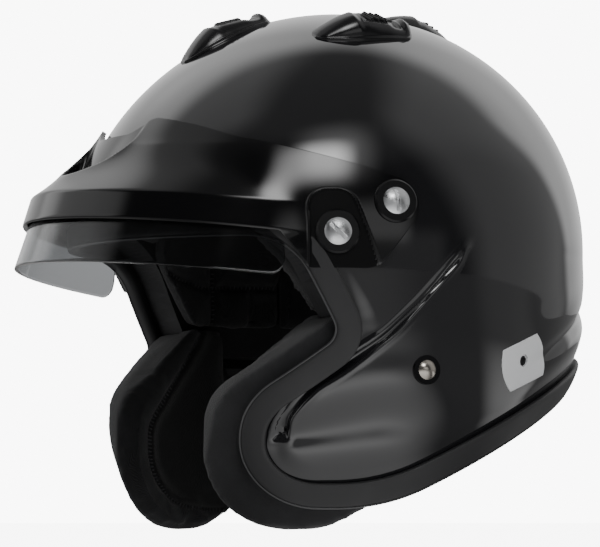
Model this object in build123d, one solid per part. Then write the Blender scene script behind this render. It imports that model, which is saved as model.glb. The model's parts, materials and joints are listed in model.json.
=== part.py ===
"""Open-face auto racing helmet: a moulded shell with a bolted peak, roof vents and a padded lining.

Frame in millimetres: +Z up, the face opening to -Y, the wearer's left to +X, and Z = 0 at the
lowest point of the cheek pads. Lengths are real sizes and angles are in degrees.
"""

import os
from math import cos, radians, sin, sqrt, tan

from build123d import *

# Outer skin of the shell: reaches at its widest level, and how each ring below and above narrows
half_width = 122.0
front_reach = 135.4
back_reach = 135.4
crown_rise = 127.5
widest_level = 139.0
crown_lean_share = 0.045
rise_shares = (0.31, 0.59, 0.81, 0.95, 0.9985)
drop_shares = (0.0, 0.18, 0.36, 0.54, 0.72, 0.93, 1.08)
drop_width_shares = (1.0, 0.992, 0.971, 0.934, 0.881, 0.797, 0.72)
drop_front_shares = (1.0, 0.990, 0.968, 0.938, 0.894, 0.827, 0.76)
drop_back_shares = (1.0, 0.994, 0.975, 0.894, 0.798, 0.680, 0.60)
shell_wall = 3.5
overrun = 60.0

# Edge of the shell in side view, at the outermost roll of its rubber trim
brow_level = 142.0
brow_corner_y = -73.5
brow_corner_radius = 30.0
port_rear_y = -49.3
port_rear_level = 93.8
port_rear_radius = 9.0
cheek_front_y = -87.2
cheek_top_level = 62.9
cheek_top_radius = 28.0
cheek_bottom_level = 10.2
cheek_bottom_radius = 38.0
hem_turn_y = -19.2
hem_turn_radius = 105.0
hem_back_level = 83.5

# Rubber trim over the shell's edge
trim_roll = 2.5
trim_band = 13.0
trim_lip = 1.8

# Blade-shaped crease on each side of the shell
crease_tip_y = 12.5
crease_tip_level = 137.0
crease_upper_y = -12.0
crease_upper_level = 110.5
crease_end_y = -45.0
crease_end_level = 82.4
crease_lower_y = -13.0
crease_lower_level = 106.0
crease_toe_y = -58.0
crease_toe_level = 67.5
crease_depth = 1.2

# Clearance between pieces that lie against each other
gap = 0.3

# Energy-absorbing liner
liner_thick = 27.0
liner_edge_inset = 8.0
liner_side_level = 92.0
strap_bay_back_y = 45.0

# Comfort pads inside the liner
pad_thick = 10.0
pad_seam = 1.5
pad_soft_radius = 4.0
crown_pad_level = 187.5
brow_pad_level = 150.0
temple_front_y = -68.0
temple_level = 107.5
temple_lobe_y = -44.0
temple_radius = 6.0
rear_pad_y = 14.0

# Cheek pads and the plates that carry them
cheek_pad_top_y = -46.0
cheek_pad_top_level = 105.5
cheek_pad_front_y = -95.5
cheek_pad_nose_level = 66.0
cheek_pad_toe_y = -41.0
cheek_pad_heel_y = -19.5
cheek_pad_heel_level = 12.5
cheek_pad_back_y = -22.0
cheek_pad_top_radius = 4.0
cheek_pad_front_radius = 26.0
cheek_pad_low_radius = 38.0
cheek_pad_toe_radius = 20.0
cheek_pad_heel_radius = 5.0
cheek_pad_soft_radius = 3.0
cheek_plate_inset = 10.0
face_half_width = 69.0
face_reach = 135.0
face_taper = 4.0

# Neck roll along the back hem
neck_roll_rise = 4.0
neck_roll_height = 28.0
neck_roll_thick = 22.0
neck_roll_radius = 10.0

# Peak: a flared lip, a sloping top and two arms, all set on planes that rise to the front
peak_tilt = 6.0
peak_wall = 2.6
peak_stand = 3.6
peak_lip_root = 136.3
peak_lip_half = 118.5
peak_lip_reach = 164.0
peak_crease_root = 150.5
peak_crease_half = 116.5
peak_crease_reach = 159.5
peak_top_level = 209.0
peak_top_half = 105.0
peak_top_reach = 114.0
peak_arm_front_y = -79.0
peak_arm_front_level = 144.0
peak_arm_front_radius = 3.0
peak_arm_low_level = 126.0
peak_arm_low_front_y = -66.3
peak_arm_low_back_y = -33.9
peak_arm_low_radius = 12.0
peak_arm_tip_y = -3.9
peak_arm_tip_level = 165.0
peak_arm_tip_radius = 14.0
peak_arm_top_y = -50.0
peak_arm_top_level = 178.5
peak_arm_top_radius = 60.0
peak_horn_y = -109.5
peak_horn_level = 205.0
peak_horn_x = 27.0
peak_forehead_level = 198.0

# Scoop over the brow, between the peak's two horns
scoop_front_y = -151.0
scoop_back_y = -113.0
scoop_half_width = 21.0
scoop_floor_level = 169.0

# Recessed panel on each arm
panel_depth = 1.4
panel_front_y = -65.9
panel_top_level = 164.5
panel_top_back_y = -46.0
panel_low_back_y = -31.0
panel_radius = 9.0

# Smoked shade inside the peak's lip
shade_wall = 2.0
shade_overlap = 6.7
shade_drop = 20.0
shade_flare = 2.5
shade_side_flare = 0.6
shade_back_y = -76.0
shade_corner_radius = 9.0

# Peak screws with their washers and nuts, placed in side view
screw_front_y = -52.7
screw_front_level = 143.7
screw_rear_y = -24.9
screw_rear_level = 158.9
screw_head_radius = 6.7
screw_head_height = 2.2
screw_slot_width = 1.6
screw_slot_depth = 1.3
screw_front_slot_turn = 135.0
screw_rear_slot_turn = 95.0
screw_shank_radius = 3.0
washer_radius = 10.8
washer_height = 2.0
washer_seat = 0.6
washer_round = 0.8
nut_flange_radius = 7.0
nut_flange = 1.5
nut_barrel_radius = 4.6
nut_barrel = 6.0

# Roof vents: stations along the length, with their width and height there
vent_length = 54.0
vent_width = 26.0
vent_height = 9.0
vent_skirt = 1.6
vent_root = 9.0
vent_station_shares = (-0.5, -0.40, -0.24, -0.10, 0.06, 0.24, 0.40, 0.5)
vent_width_shares = (0.20, 0.56, 0.88, 1.0, 1.0, 0.92, 0.78, 0.56)
vent_height_shares = (0.24, 0.36, 0.70, 1.0, 0.90, 0.66, 0.52, 0.30)
vent_shoulder_share = 0.45
vent_shoulder_height_share = 0.82
vent_front_y = -60.0
vent_rear_y = 52.0
vent_side_x = 56.0
vent_side_y = -9.0
vent_hole_radius = 4.0

# Thumb sliders on the vents
slider_length = 14.0
slider_width = 11.0
slider_height = 2.4
slider_place = 5.5
slider_level = 5.8
slider_travel = 6.0
slider_tilt = 11.0
slider_seat_depth = 1.6
rib_count = 4
rib_width = 1.3
rib_height = 1.4
stem_width = 4.0
stem_depth = 3.0

# Anchor terminals for a head restraint
anchor_y = 54.9
anchor_level = 83.5
anchor_radius = 8.0
anchor_length = 9.0
anchor_bore_radius = 2.5
anchor_flange_radius = 11.0
anchor_flange = 2.0

# Strap rivets through the shell, and the hanger plates that turn on them
rivet_y = -5.5
rivet_level = 77.5
rivet_head_radius = 4.8
rivet_head_height = 2.0
rivet_ring_radius = 7.2
rivet_ring_height = 1.4
rivet_post_radius = 2.5
rivet_collar_radius = 4.5
rivet_collar = 1.2
rivet_clearance = 0.06
hanger_half_x = 103.0
hanger_wall = 1.6
hanger_top_width = 16.0
hanger_top_rise = 9.0
hanger_low_width = 28.0
hanger_shoulder_drop = 12.0
hanger_length = 27.0
hanger_slot_drop = 20.0
hanger_slot_width = 21.0
hanger_slot_height = 5.0
hanger_radius = 4.0

# Chin strap: webbing down both sides and across, tucked up between the cheek pads
strap_width = 20.0
strap_thick = 1.8
strap_tail_level = 47.0
strap_side_x = 91.0
strap_side_level = 35.0
strap_turn_x = 72.0
strap_chin_level = 25.0
strap_turn_radius = 14.0

# Two stacked rings that join the straps, the folded free end and its snap
ring_bar_x = 44.0
ring_reach = 16.0
ring_shoulder_reach = 8.0
ring_half_width = 13.0
ring_nose_half_width = 6.0
ring_wire_radius = 1.5
ring_bend_radius = 3.0
fold_wrap_x = 36.4
fold_drop_reach = 14.0
fold_rise_reach = 24.0
fold_reach = 52.0
fold_bend_radius = 10.0
loop_reach = 24.0
snap_reach = 44.0
snap_radius = 6.0
snap_height = 2.0
snap_post_radius = 2.0

# Reaches that only bound cuts, and layers worked out from the walls above
far_front = -(front_reach + overrun)
far_back = back_reach + overrun
far_top = widest_level + crown_rise + overrun
liner_outer = -(shell_wall + gap)
liner_inner = liner_outer - liner_thick
pad_outer = liner_inner - gap
pad_inner = pad_outer - pad_thick
lined_wall = -(shell_wall + trim_lip + gap)
skins = {}
parts = {}


def oval(plane, half_x, front_y, back_y, centre_y=0.0):
    """A flat oval of two half ellipses that meet on its widest line."""
    back = EllipticalCenterArc((0, centre_y), half_x, back_y, 0, arc_size=180)
    front = EllipticalCenterArc((0, centre_y), half_x, front_y, 180, arc_size=180)
    return plane * make_face(Curve() + [back, front])


def skin(outset=0.0):
    """The closed form of the shell's outer skin, moved outwards by outset."""
    if outset in skins:
        return skins[outset]
    sections = []
    stations = list(zip(drop_shares, drop_width_shares, drop_front_shares, drop_back_shares))
    for drop, width, front, back in reversed(stations):
        plane = Plane.XY.offset(widest_level * (1 - drop))
        sections.append(oval(plane, half_width * width + outset, front_reach * front + outset,
                             back_reach * back + outset))
    rise = crown_rise + outset
    for share in rise_shares:
        ring = sqrt(1 - share**2)
        plane = Plane.XY.offset(widest_level + rise * share)
        sections.append(oval(plane, (half_width + outset) * ring, (front_reach + outset) * ring,
                             (back_reach + outset) * ring, crown_lean_share * rise * share))
    skins[outset] = loft(sections)
    return skins[outset]


def layer(outer, inner):
    """The space between two copies of the skin."""
    return skin(outer) - skin(inner)


def closed(points, radii=0.0):
    """A flat face inside a closed polyline whose corners are rounded by radii."""
    return make_face(FilletPolyline(*points, radius=radii, close=True))


def slab(outline):
    """A side-view outline carried right across the helmet."""
    return extrude(Plane.YZ * outline, amount=half_width + overrun, both=True)


def rod(plane, radius, low, high):
    """A cylinder on a plane's axis between two heights over the plane."""
    return plane.offset(low) * Cylinder(radius, high - low, align=(Align.CENTER, Align.CENTER, Align.MIN))


def seat(start, way, along, outset=0.0):
    """Plane where a ray meets the skin: normal outwards, x along the given way."""
    hits = skin(outset).find_intersection_points(Axis(start, way))
    point, normal = min(hits, key=lambda hit: (hit[0] - Vector(*start)).length)
    if normal.dot(Vector(*way)) > 0:
        normal = -normal
    forward = Vector(*along)
    return Plane(origin=point, x_dir=forward - normal * normal.dot(forward), z_dir=normal)


def side_seat(y, level, outset=0.0):
    """Seat on the wearer's left, at a place in side view."""
    return seat((half_width + overrun, y, level), (-1, 0, 0), (0, 1, 0), outset)


def roof_seat(x, y):
    """Seat on the roof, at a place in plan view."""
    return seat((x, y, far_top), (0, 0, -1), (0, 1, 0))


def mirrored(solid):
    """The same piece on the wearer's right."""
    return mirror(solid, about=Plane.YZ)


def pair(solid):
    """A left piece and its mirror image, as one group."""
    return Compound(children=[*solid.solids(), *mirrored(solid).solids()])


def hem_level(y):
    """Height of the straight hem behind the cheek, at a place along the side."""
    slope = (hem_back_level - cheek_bottom_level) / (back_reach - hem_turn_y)
    return cheek_bottom_level + (y - hem_turn_y) * slope


def edge_face(inset=0.0):
    """Side view of what the helmet keeps: all that is behind the face opening and above the hem."""
    points = [
        (far_front, brow_level),
        (brow_corner_y, brow_level),
        (port_rear_y, port_rear_level),
        (cheek_front_y, cheek_top_level),
        (cheek_front_y, cheek_bottom_level),
        (hem_turn_y, cheek_bottom_level),
        (far_back, hem_level(far_back)),
        (far_back, far_top),
        (far_front, far_top),
    ]
    radii = [0, brow_corner_radius, port_rear_radius, cheek_top_radius, cheek_bottom_radius,
             hem_turn_radius, 0, 0, 0]
    face = closed(points, radii)
    return offset(face, amount=-inset) if inset else face


def crease_face():
    """Side view of the blade-shaped crease that runs down and forward from over the ear."""
    tip = (crease_tip_y, crease_tip_level)
    end = (crease_end_y, crease_end_level)
    toe = (crease_toe_y, crease_toe_level)
    upper = ThreePointArc(tip, (crease_upper_y, crease_upper_level), end)
    lower = ThreePointArc(toe, (crease_lower_y, crease_lower_level), tip)
    return make_face(Curve() + [upper, Line(end, toe), lower])


def screw_seats():
    """Seats of the left peak screws: in the recessed panel, and on the arm behind it."""
    front = side_seat(screw_front_y, screw_front_level, peak_stand - panel_depth)
    rear = side_seat(screw_rear_y, screw_rear_level, peak_stand)
    return [(front, peak_stand - panel_depth), (rear, peak_stand)]


def rivet_seat():
    """The left strap rivet's axis: straight across the helmet, so both rivets share one line."""
    on_skin = side_seat(rivet_y, rivet_level)
    return Plane(origin=on_skin.origin, x_dir=(0, 1, 0), z_dir=(1, 0, 0))


def vent_seats():
    """Seats of the four roof vents: front, left, right and rear."""
    return {
        "front": roof_seat(0, vent_front_y),
        "left": roof_seat(vent_side_x, vent_side_y),
        "right": roof_seat(-vent_side_x, vent_side_y),
        "rear": roof_seat(0, vent_rear_y),
    }


def slider_frame(plane):
    """Where a vent's slider rests, tilted to follow the vent's back."""
    return plane.location * Pos(slider_place, 0, slider_level) * Rot(0, slider_tilt, 0)


def outer_shell():
    shell = layer(0, -shell_wall) & slab(edge_face(trim_roll))
    shell -= layer(crease_depth, -crease_depth) & slab(crease_face())
    cuts = []
    for plane, outset in screw_seats():
        cuts.append(rod(plane, screw_shank_radius + gap, -(outset + shell_wall + overrun / 2), overrun / 2))
    cuts.append(rod(side_seat(anchor_y, anchor_level), anchor_radius, -overrun / 2, overrun / 2))
    cuts.append(rod(rivet_seat(), rivet_post_radius, -overrun / 2, overrun / 2))
    cuts += [mirrored(cut) for cut in cuts]
    cuts += [rod(plane, vent_hole_radius, -overrun / 2, overrun / 2) for plane in vent_seats().values()]
    return shell - cuts


def edge_trim():
    around = layer(trim_lip, lined_wall + gap)
    band = slab(edge_face() - edge_face(trim_band))
    return (around & band) - (layer(0, -shell_wall) & slab(edge_face(trim_roll)))


def impact_liner():
    roll_top = neck_roll_rise + neck_roll_height + pad_seam
    floor = [
        (far_front, liner_side_level),
        (strap_bay_back_y, liner_side_level),
        (strap_bay_back_y, hem_level(strap_bay_back_y) + roll_top),
        (far_back, hem_level(far_back) + roll_top),
        (far_back, far_top),
        (far_front, far_top),
    ]
    clear_of_trim = layer(liner_outer, liner_inner) & slab(edge_face(trim_band + gap))
    behind_trim = layer(lined_wall, liner_inner) & slab(edge_face(liner_edge_inset))
    liner = (clear_of_trim + behind_trim) & slab(closed(floor))
    cuts = []
    for plane, outset in screw_seats():
        low = -(outset + shell_wall + nut_flange + nut_barrel + 3 * gap)
        cuts.append(rod(plane, nut_flange_radius + gap, low, 0))
    low = -(shell_wall + anchor_flange + anchor_length)
    cuts.append(rod(side_seat(anchor_y, anchor_level), anchor_flange_radius + gap, low, 0))
    cuts += [mirrored(cut) for cut in cuts]
    cuts += [rod(plane, vent_hole_radius, -overrun, 0) for plane in vent_seats().values()]
    return liner - cuts


def soften(pad, radius):
    """Round the edges of a pad's inner face, the second largest, as sewn foam is."""
    inner = pad.faces().sort_by(SortBy.AREA)[-2]
    return pad.fillet(radius, inner.edges())


def comfort_pads():
    """Crown, brow, temple and rear pads that line the impact liner, a seam apart."""
    foam = layer(pad_outer, pad_inner)
    top = crown_pad_level - pad_seam
    crown = foam & slab(closed([
        (far_front, crown_pad_level),
        (far_back, crown_pad_level),
        (far_back, far_top),
        (far_front, far_top),
    ]))
    brow = foam & slab(closed([
        (far_front, brow_pad_level),
        (temple_front_y - pad_seam, brow_pad_level),
        (temple_front_y - pad_seam, top),
        (far_front, top),
    ]))
    rear = foam & slab(closed([
        (rear_pad_y, temple_level),
        (far_back, temple_level),
        (far_back, top),
        (rear_pad_y, top),
    ]))
    temples = foam & slab(closed([
        (temple_front_y, brow_level),
        (temple_lobe_y, temple_level),
        (rear_pad_y - pad_seam, temple_level),
        (rear_pad_y - pad_seam, top),
        (temple_front_y, top),
    ], temple_radius))
    left = temples.solids().sort_by(Axis.X)[-1]
    parts["crown_pad"] = soften(crown, pad_soft_radius)
    parts["brow_pad"] = soften(brow, pad_soft_radius)
    parts["rear_pad"] = soften(rear, pad_soft_radius)
    parts["temple_pad_left"] = soften(left, pad_soft_radius)
    parts["temple_pad_right"] = mirrored(parts["temple_pad_left"])


def cheek_outline():
    """Side view of a cheek pad, which follows the cheek's edge and hangs below the hem."""
    points = [
        (cheek_pad_top_y, cheek_pad_top_level),
        (cheek_pad_front_y, cheek_pad_nose_level),
        (cheek_pad_front_y, 0),
        (cheek_pad_toe_y, 0),
        (cheek_pad_heel_y, cheek_pad_heel_level),
        (cheek_pad_back_y, cheek_pad_top_level),
    ]
    return closed(points, [cheek_pad_top_radius, cheek_pad_front_radius, cheek_pad_low_radius,
                           cheek_pad_toe_radius, cheek_pad_heel_radius, cheek_pad_top_radius])


def cheek_pads():
    """Thick cushions on both jaws, hollowed for the face, on thin plates inside the shell."""
    low = oval(Plane.XY, face_half_width - face_taper, face_reach, face_reach)
    top = oval(Plane.XY.offset(cheek_pad_top_level), face_half_width + face_taper, face_reach, face_reach)
    outline = cheek_outline()
    over = slab(closed([
        (far_front, liner_side_level - gap),
        (far_back, liner_side_level - gap),
        (far_back, far_top),
        (far_front, far_top),
    ]))
    beside_liner = layer(lined_wall + overrun, liner_inner - gap) & slab(edge_face(liner_edge_inset - gap))
    pads = (skin(lined_wall) & slab(outline)) - loft([low, top]) - (beside_liner & over)
    left = pads.solids().sort_by(Axis.X)[-1]
    inner = left.faces().filter_by(GeomType.BSPLINE).sort_by(SortBy.AREA)[-2:].sort_by(Axis.X)[0]
    parts["cheek_pad_left"] = left.fillet(cheek_pad_soft_radius, inner.edges())
    parts["cheek_pad_right"] = mirrored(parts["cheek_pad_left"])
    backing = layer(liner_outer, lined_wall + gap) & slab(
        offset(outline, amount=-cheek_plate_inset) & edge_face(trim_band + gap)) - over
    parts["cheek_plate_left"] = backing.solids().sort_by(Axis.X)[-1]
    parts["cheek_plate_right"] = mirrored(parts["cheek_plate_left"])


def neck_roll():
    """Padded roll inside the back hem, open at the front for the strap."""
    high = neck_roll_rise + neck_roll_height
    outline = closed([
        (strap_bay_back_y, hem_level(strap_bay_back_y) + neck_roll_rise),
        (far_back, hem_level(far_back) + neck_roll_rise),
        (far_back, hem_level(far_back) + high),
        (strap_bay_back_y, hem_level(strap_bay_back_y) + high),
    ], neck_roll_radius)
    roll = layer(lined_wall, lined_wall - neck_roll_thick) & slab(outline)
    pocket = rod(side_seat(anchor_y, anchor_level), anchor_flange_radius + gap,
                 -(shell_wall + anchor_flange + anchor_length), 0)
    return roll - [pocket, mirrored(pocket)]


def visor_plane(root_level):
    """A plane that rises to the front at the peak's tilt, root_level high over the middle."""
    tilt = radians(peak_tilt)
    return Plane(origin=(0, 0, root_level), x_dir=(1, 0, 0), z_dir=(0, sin(tilt), cos(tilt)))


def visor_form(wall=0.0):
    """The peak's overhang, moved inwards by wall: a flared lip under a sloping top."""
    lip = oval(visor_plane(peak_lip_root), peak_lip_half - wall, peak_lip_reach - wall, back_reach)
    crease = oval(visor_plane(peak_crease_root - wall / 2), peak_crease_half - wall,
                  peak_crease_reach - wall, back_reach)
    top = oval(Plane.XY.offset(peak_top_level), peak_top_half - wall, peak_top_reach - wall,
               peak_top_reach)
    return loft([lip, crease], ruled=True) + loft([crease, top], ruled=True)


def peak_side_face():
    """Side view of the peak: lip line, rounded arm and top edge up to the horns."""
    points = [
        (far_front, peak_arm_front_level + (peak_arm_front_y - far_front) * tan(radians(peak_tilt))),
        (peak_arm_front_y, peak_arm_front_level),
        (peak_arm_low_front_y, peak_arm_low_level),
        (peak_arm_low_back_y, peak_arm_low_level),
        (peak_arm_tip_y, peak_arm_tip_level),
        (peak_arm_top_y, peak_arm_top_level),
        (peak_horn_y, peak_horn_level),
        (far_front, peak_horn_level),
    ]
    return closed(points, [0, peak_arm_front_radius, peak_arm_front_radius, peak_arm_low_radius,
                           peak_arm_tip_radius, peak_arm_top_radius, 0, 0])


def scoop(wall=0.0):
    """The wedge-shaped scoop over the brow, grown by wall on its floor and sides."""
    half = scoop_half_width + wall
    outline = closed([
        (0, scoop_front_y - 2 * wall),
        (half, scoop_back_y),
        (half, 0),
        (-half, 0),
        (-half, scoop_back_y),
    ])
    return extrude(Plane.XY.offset(scoop_floor_level - wall) * outline, amount=far_top)


def peak():
    outer = (skin(peak_stand) + visor_form()) & slab(peak_side_face())
    dip = extrude(Plane.XZ * closed([
        (-peak_horn_x, peak_horn_level),
        (0, peak_forehead_level),
        (peak_horn_x, peak_horn_level),
        (peak_horn_x, far_top),
        (-peak_horn_x, far_top),
    ]), amount=-far_front)
    hollow = visor_form(peak_wall) - scoop(peak_wall)
    body = outer - skin(gap) - hollow - (scoop() - skin(peak_stand)) - dip
    panel = slab(closed([
        (panel_front_y, peak_arm_low_level - overrun),
        (panel_front_y, panel_top_level),
        (panel_top_back_y, panel_top_level),
        (panel_low_back_y, peak_arm_low_level - overrun),
    ], [0, panel_radius, panel_radius, 0]))
    body -= layer(peak_stand + panel_depth, peak_stand - panel_depth) & panel
    body -= skin(trim_lip + gap) & slab(edge_face(-gap) - edge_face(trim_band + gap))
    holes = []
    for plane, outset in screw_seats():
        holes.append(rod(plane, screw_shank_radius + gap, -overrun / 2, overrun / 2))
        holes.append(rod(plane, washer_radius, -washer_seat, overrun / 2))
    return body - holes - [mirrored(hole) for hole in holes]


def peak_shade():
    """Smoked strip inside the lip, flaring down and out, with rounded lower corners."""
    low_root = peak_lip_root - shade_drop
    lean_share = shade_overlap / (peak_crease_root - peak_lip_root)
    top_half = peak_lip_half - (peak_lip_half - peak_crease_half) * lean_share - peak_wall - 2 * gap
    top_reach = peak_lip_reach - (peak_lip_reach - peak_crease_reach) * lean_share - peak_wall - 2 * gap

    def strip(wall):
        low = oval(visor_plane(low_root), peak_lip_half + shade_side_flare - wall,
                   peak_lip_reach + shade_flare - wall, back_reach)
        top = oval(visor_plane(peak_lip_root + shade_overlap), top_half - wall, top_reach - wall,
                   back_reach)
        return loft([low, top], ruled=True)
    rise = tan(radians(peak_tilt))
    outline = closed([
        (far_front, low_root - far_front * rise),
        (shade_back_y, low_root - shade_back_y * rise),
        (shade_back_y, far_top),
        (far_front, far_top),
    ], [0, shade_corner_radius, 0, 0])
    return (strip(0) - strip(shade_wall) - skin(peak_stand + gap)) & slab(outline)


def peak_screw(plane, outset, slot_turn):
    """Slotted round-headed screw on its washer, through the arm and the shell into its nut."""
    base = washer_height - washer_seat
    dome = (screw_head_radius**2 + screw_head_height**2) / (2 * screw_head_height)
    head = rod(plane, screw_head_radius, base, base + screw_head_height)
    head &= plane.offset(base + screw_head_height - dome) * Sphere(dome)
    slot = Rot(0, 0, slot_turn) * Box(screw_head_radius * 2, screw_slot_width, screw_slot_depth * 2)
    head -= plane.offset(base + screw_head_height) * slot
    return head + rod(plane, screw_shank_radius, -(outset + shell_wall + nut_barrel), base)


def peak_washer(plane):
    """Rounded ring washer, its foot sunk into the arm."""
    ring = rod(plane, washer_radius, -washer_seat, washer_height - washer_seat)
    rim = ring.edges().filter_by(GeomType.CIRCLE).sort_by(Axis(plane.origin, plane.z_dir))[-1]
    return chamfer(rim, washer_round) - rod(plane, screw_shank_radius, -overrun, overrun)


def peak_nut(plane, outset):
    """Flanged barrel nut behind the shell wall."""
    top = -(outset + shell_wall + gap)
    nut = rod(plane, nut_flange_radius, top - nut_flange, top)
    nut += rod(plane, nut_barrel_radius, top - nut_flange - nut_barrel, top - nut_flange)
    return nut - rod(plane, screw_shank_radius, -overrun, overrun)


def peak_fasteners():
    seats = screw_seats()
    turns = {"front": screw_front_slot_turn, "rear": screw_rear_slot_turn}
    for (name, turn), (plane, outset) in zip(turns.items(), seats):
        screw = peak_screw(plane, outset, turn)
        parts[f"peak_screw_{name}_left"] = screw
        parts[f"peak_screw_{name}_right"] = mirrored(screw)
    parts["peak_washers"] = Compound(children=[
        solid for plane, outset in seats for solid in pair(peak_washer(plane)).solids()])
    parts["peak_nuts"] = Compound(children=[
        solid for plane, outset in seats for solid in pair(peak_nut(plane, outset)).solids()])


def vent_section(plane, station, width, height):
    """One cross-section of a vent: straight sides, a skirt and a crowned back."""
    along = station * vent_length
    fall = along**2 / (2 * crown_rise)
    half = vent_width / 2 * width
    skirt = vent_skirt - fall
    top = vent_height * height - fall
    shoulder = (half * vent_shoulder_share, skirt + (top - skirt) * vent_shoulder_height_share)
    across = Plane(origin=plane.origin + plane.x_dir * along, x_dir=plane.y_dir, z_dir=plane.x_dir)
    crown = Spline((half, skirt), shoulder, (0, top), (-shoulder[0], shoulder[1]), (-half, skirt))
    frame = Polyline((half, skirt), (half, -vent_root), (-half, -vent_root), (-half, skirt))
    return across * make_face(Curve() + [crown, frame])


def roof_vents():
    """Teardrop vents with a hump, and a ribbed thumb slider in a recess behind it."""
    stations = list(zip(vent_station_shares, vent_width_shares, vent_height_shares))
    for name, plane in vent_seats().items():
        vent = loft([vent_section(plane, *station) for station in stations]) - skin()
        frame = slider_frame(plane)
        run = slider_length + slider_travel + 2 * gap
        recess = Box(run, slider_width + 2 * gap, overrun / 2, align=(Align.MIN, Align.CENTER, Align.MIN))
        slot = Box(stem_width + slider_travel + 2 * gap, stem_width + 2 * gap, overrun,
                   align=(Align.MIN, Align.CENTER, Align.CENTER))
        vent -= frame * Pos(-slider_length / 2 - gap, 0, -slider_seat_depth) * recess
        vent -= frame * Pos(-stem_width / 2 - gap, 0, 0) * slot
        parts[f"vent_{name}"] = vent
        parts[f"vent_slider_{name}"] = frame * vent_slider()


def vent_slider():
    """Thumb slider with cross ribs and a stem that runs in the vent's slot."""
    floor = gap - slider_seat_depth
    body = Pos(0, 0, floor) * Box(slider_length, slider_width, slider_height,
                                  align=(Align.CENTER, Align.CENTER, Align.MIN))
    body += Pos(0, 0, floor) * Box(stem_width, stem_width, stem_depth,
                                   align=(Align.CENTER, Align.CENTER, Align.MAX))
    pitch = slider_length / rib_count
    for count in range(rib_count):
        place = (count - (rib_count - 1) / 2) * pitch
        body += Pos(place, 0, floor + slider_height) * Box(
            rib_width, slider_width, rib_height, align=(Align.CENTER, Align.CENTER, Align.MIN))
    return body


def anchor_terminal():
    """Flanged threaded insert, flush with the shell and seated behind it."""
    plane = side_seat(anchor_y, anchor_level)
    top = -(shell_wall + 2 * gap)
    terminal = rod(plane, anchor_radius, -anchor_length, -gap)
    terminal += rod(plane, anchor_flange_radius, top - anchor_flange, top)
    return terminal - rod(plane, anchor_bore_radius, -overrun, overrun)


def strap_rivet():
    """Domed rivet with a dark ring, a post through the shell and a collar that keeps the hanger."""
    plane = rivet_seat()
    half_x = plane.origin.X
    ring = rod(plane, rivet_ring_radius, -overrun / 4, rivet_ring_height) - skin()
    dome = (rivet_head_radius**2 + rivet_head_height**2) / (2 * rivet_head_height)
    head = rod(plane, rivet_head_radius, rivet_ring_height, rivet_ring_height + rivet_head_height)
    head &= plane.offset(rivet_ring_height + rivet_head_height - dome) * Sphere(dome)
    plate = hanger_half_x - half_x
    inner = plate - hanger_wall - rivet_clearance
    post = rod(plane, rivet_post_radius, inner - rivet_collar, rivet_ring_height)
    collar = rod(plane, rivet_collar_radius, inner - rivet_collar, inner)
    spacer = rod(plane, rivet_collar_radius, plate + rivet_clearance, -(shell_wall + 3 * gap))
    ring -= rod(plane, rivet_post_radius, -overrun, overrun)
    return ring, head + post + collar + spacer


def strap_hanger():
    """Steel plate that turns on the rivet and carries the webbing on its lower bar."""
    inner_x = hanger_half_x - hanger_wall
    plane = Plane(origin=(inner_x, rivet_y, rivet_level), x_dir=(0, 1, 0), z_dir=(1, 0, 0))
    top = hanger_top_width / 2
    low = hanger_low_width / 2
    outline = closed([
        (-top, hanger_top_rise),
        (top, hanger_top_rise),
        (low, -hanger_shoulder_drop),
        (low, -hanger_length),
        (-low, -hanger_length),
        (-low, -hanger_shoulder_drop),
    ], hanger_radius)
    slot = Pos(0, -hanger_slot_drop) * Rectangle(hanger_slot_width, hanger_slot_height)
    plate = extrude(plane * (outline - slot), amount=hanger_wall)
    return plate - rod(plane, rivet_post_radius + rivet_clearance, -overrun, overrun)


def webbing(points, radii):
    """Flat webbing along a route in front view, centred on the rivets."""
    band = trace(FilletPolyline(*points, radius=radii), line_width=strap_thick)
    facing = Plane(origin=(0, rivet_y + strap_width / 2, 0), x_dir=(1, 0, 0), z_dir=(0, -1, 0))
    return extrude(facing * band, amount=strap_width)


def side_route(hand):
    """Route of the webbing on one side: over the hanger's bar, down the shell and in to the chin."""
    half = strap_thick / 2 + gap
    outer_x = hanger_half_x + half
    inner_x = hanger_half_x - hanger_wall - half
    over = rivet_level - hanger_slot_drop
    points = [
        (outer_x, strap_tail_level),
        (outer_x, over),
        (inner_x, over),
        (inner_x, strap_tail_level),
        (strap_side_x, strap_side_level),
        (strap_turn_x, strap_chin_level),
    ]
    turn = (outer_x - inner_x) / 2 - gap / 2
    return [(hand * x, z) for x, z in points], [turn, turn, strap_turn_radius, strap_turn_radius,
                                               strap_turn_radius]


def chin_strap():
    """Left webbing looped round the rings' bars, and right webbing folded back through them."""
    layer_drop = 4 * ring_wire_radius + 3 * gap + strap_thick
    low = strap_chin_level - layer_drop
    wrap = layer_drop / 2 - gap / 2
    left_route, left_radii = side_route(1)
    left_x = ring_bar_x - wrap
    left_route += [(left_x, strap_chin_level), (left_x, low), (left_x + loop_reach, low)]
    right_route, right_radii = side_route(-1)
    right_route += [
        (fold_wrap_x, strap_chin_level),
        (fold_wrap_x, low),
        (fold_wrap_x - fold_drop_reach, low),
        (fold_wrap_x - fold_rise_reach, strap_chin_level - strap_thick - gap),
        (fold_wrap_x - fold_reach, strap_chin_level - strap_thick - gap),
    ]
    left = webbing(left_route, [*left_radii, wrap, wrap])
    right = webbing(right_route, [*right_radii, wrap, wrap, fold_bend_radius, fold_bend_radius])
    return left, right


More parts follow.
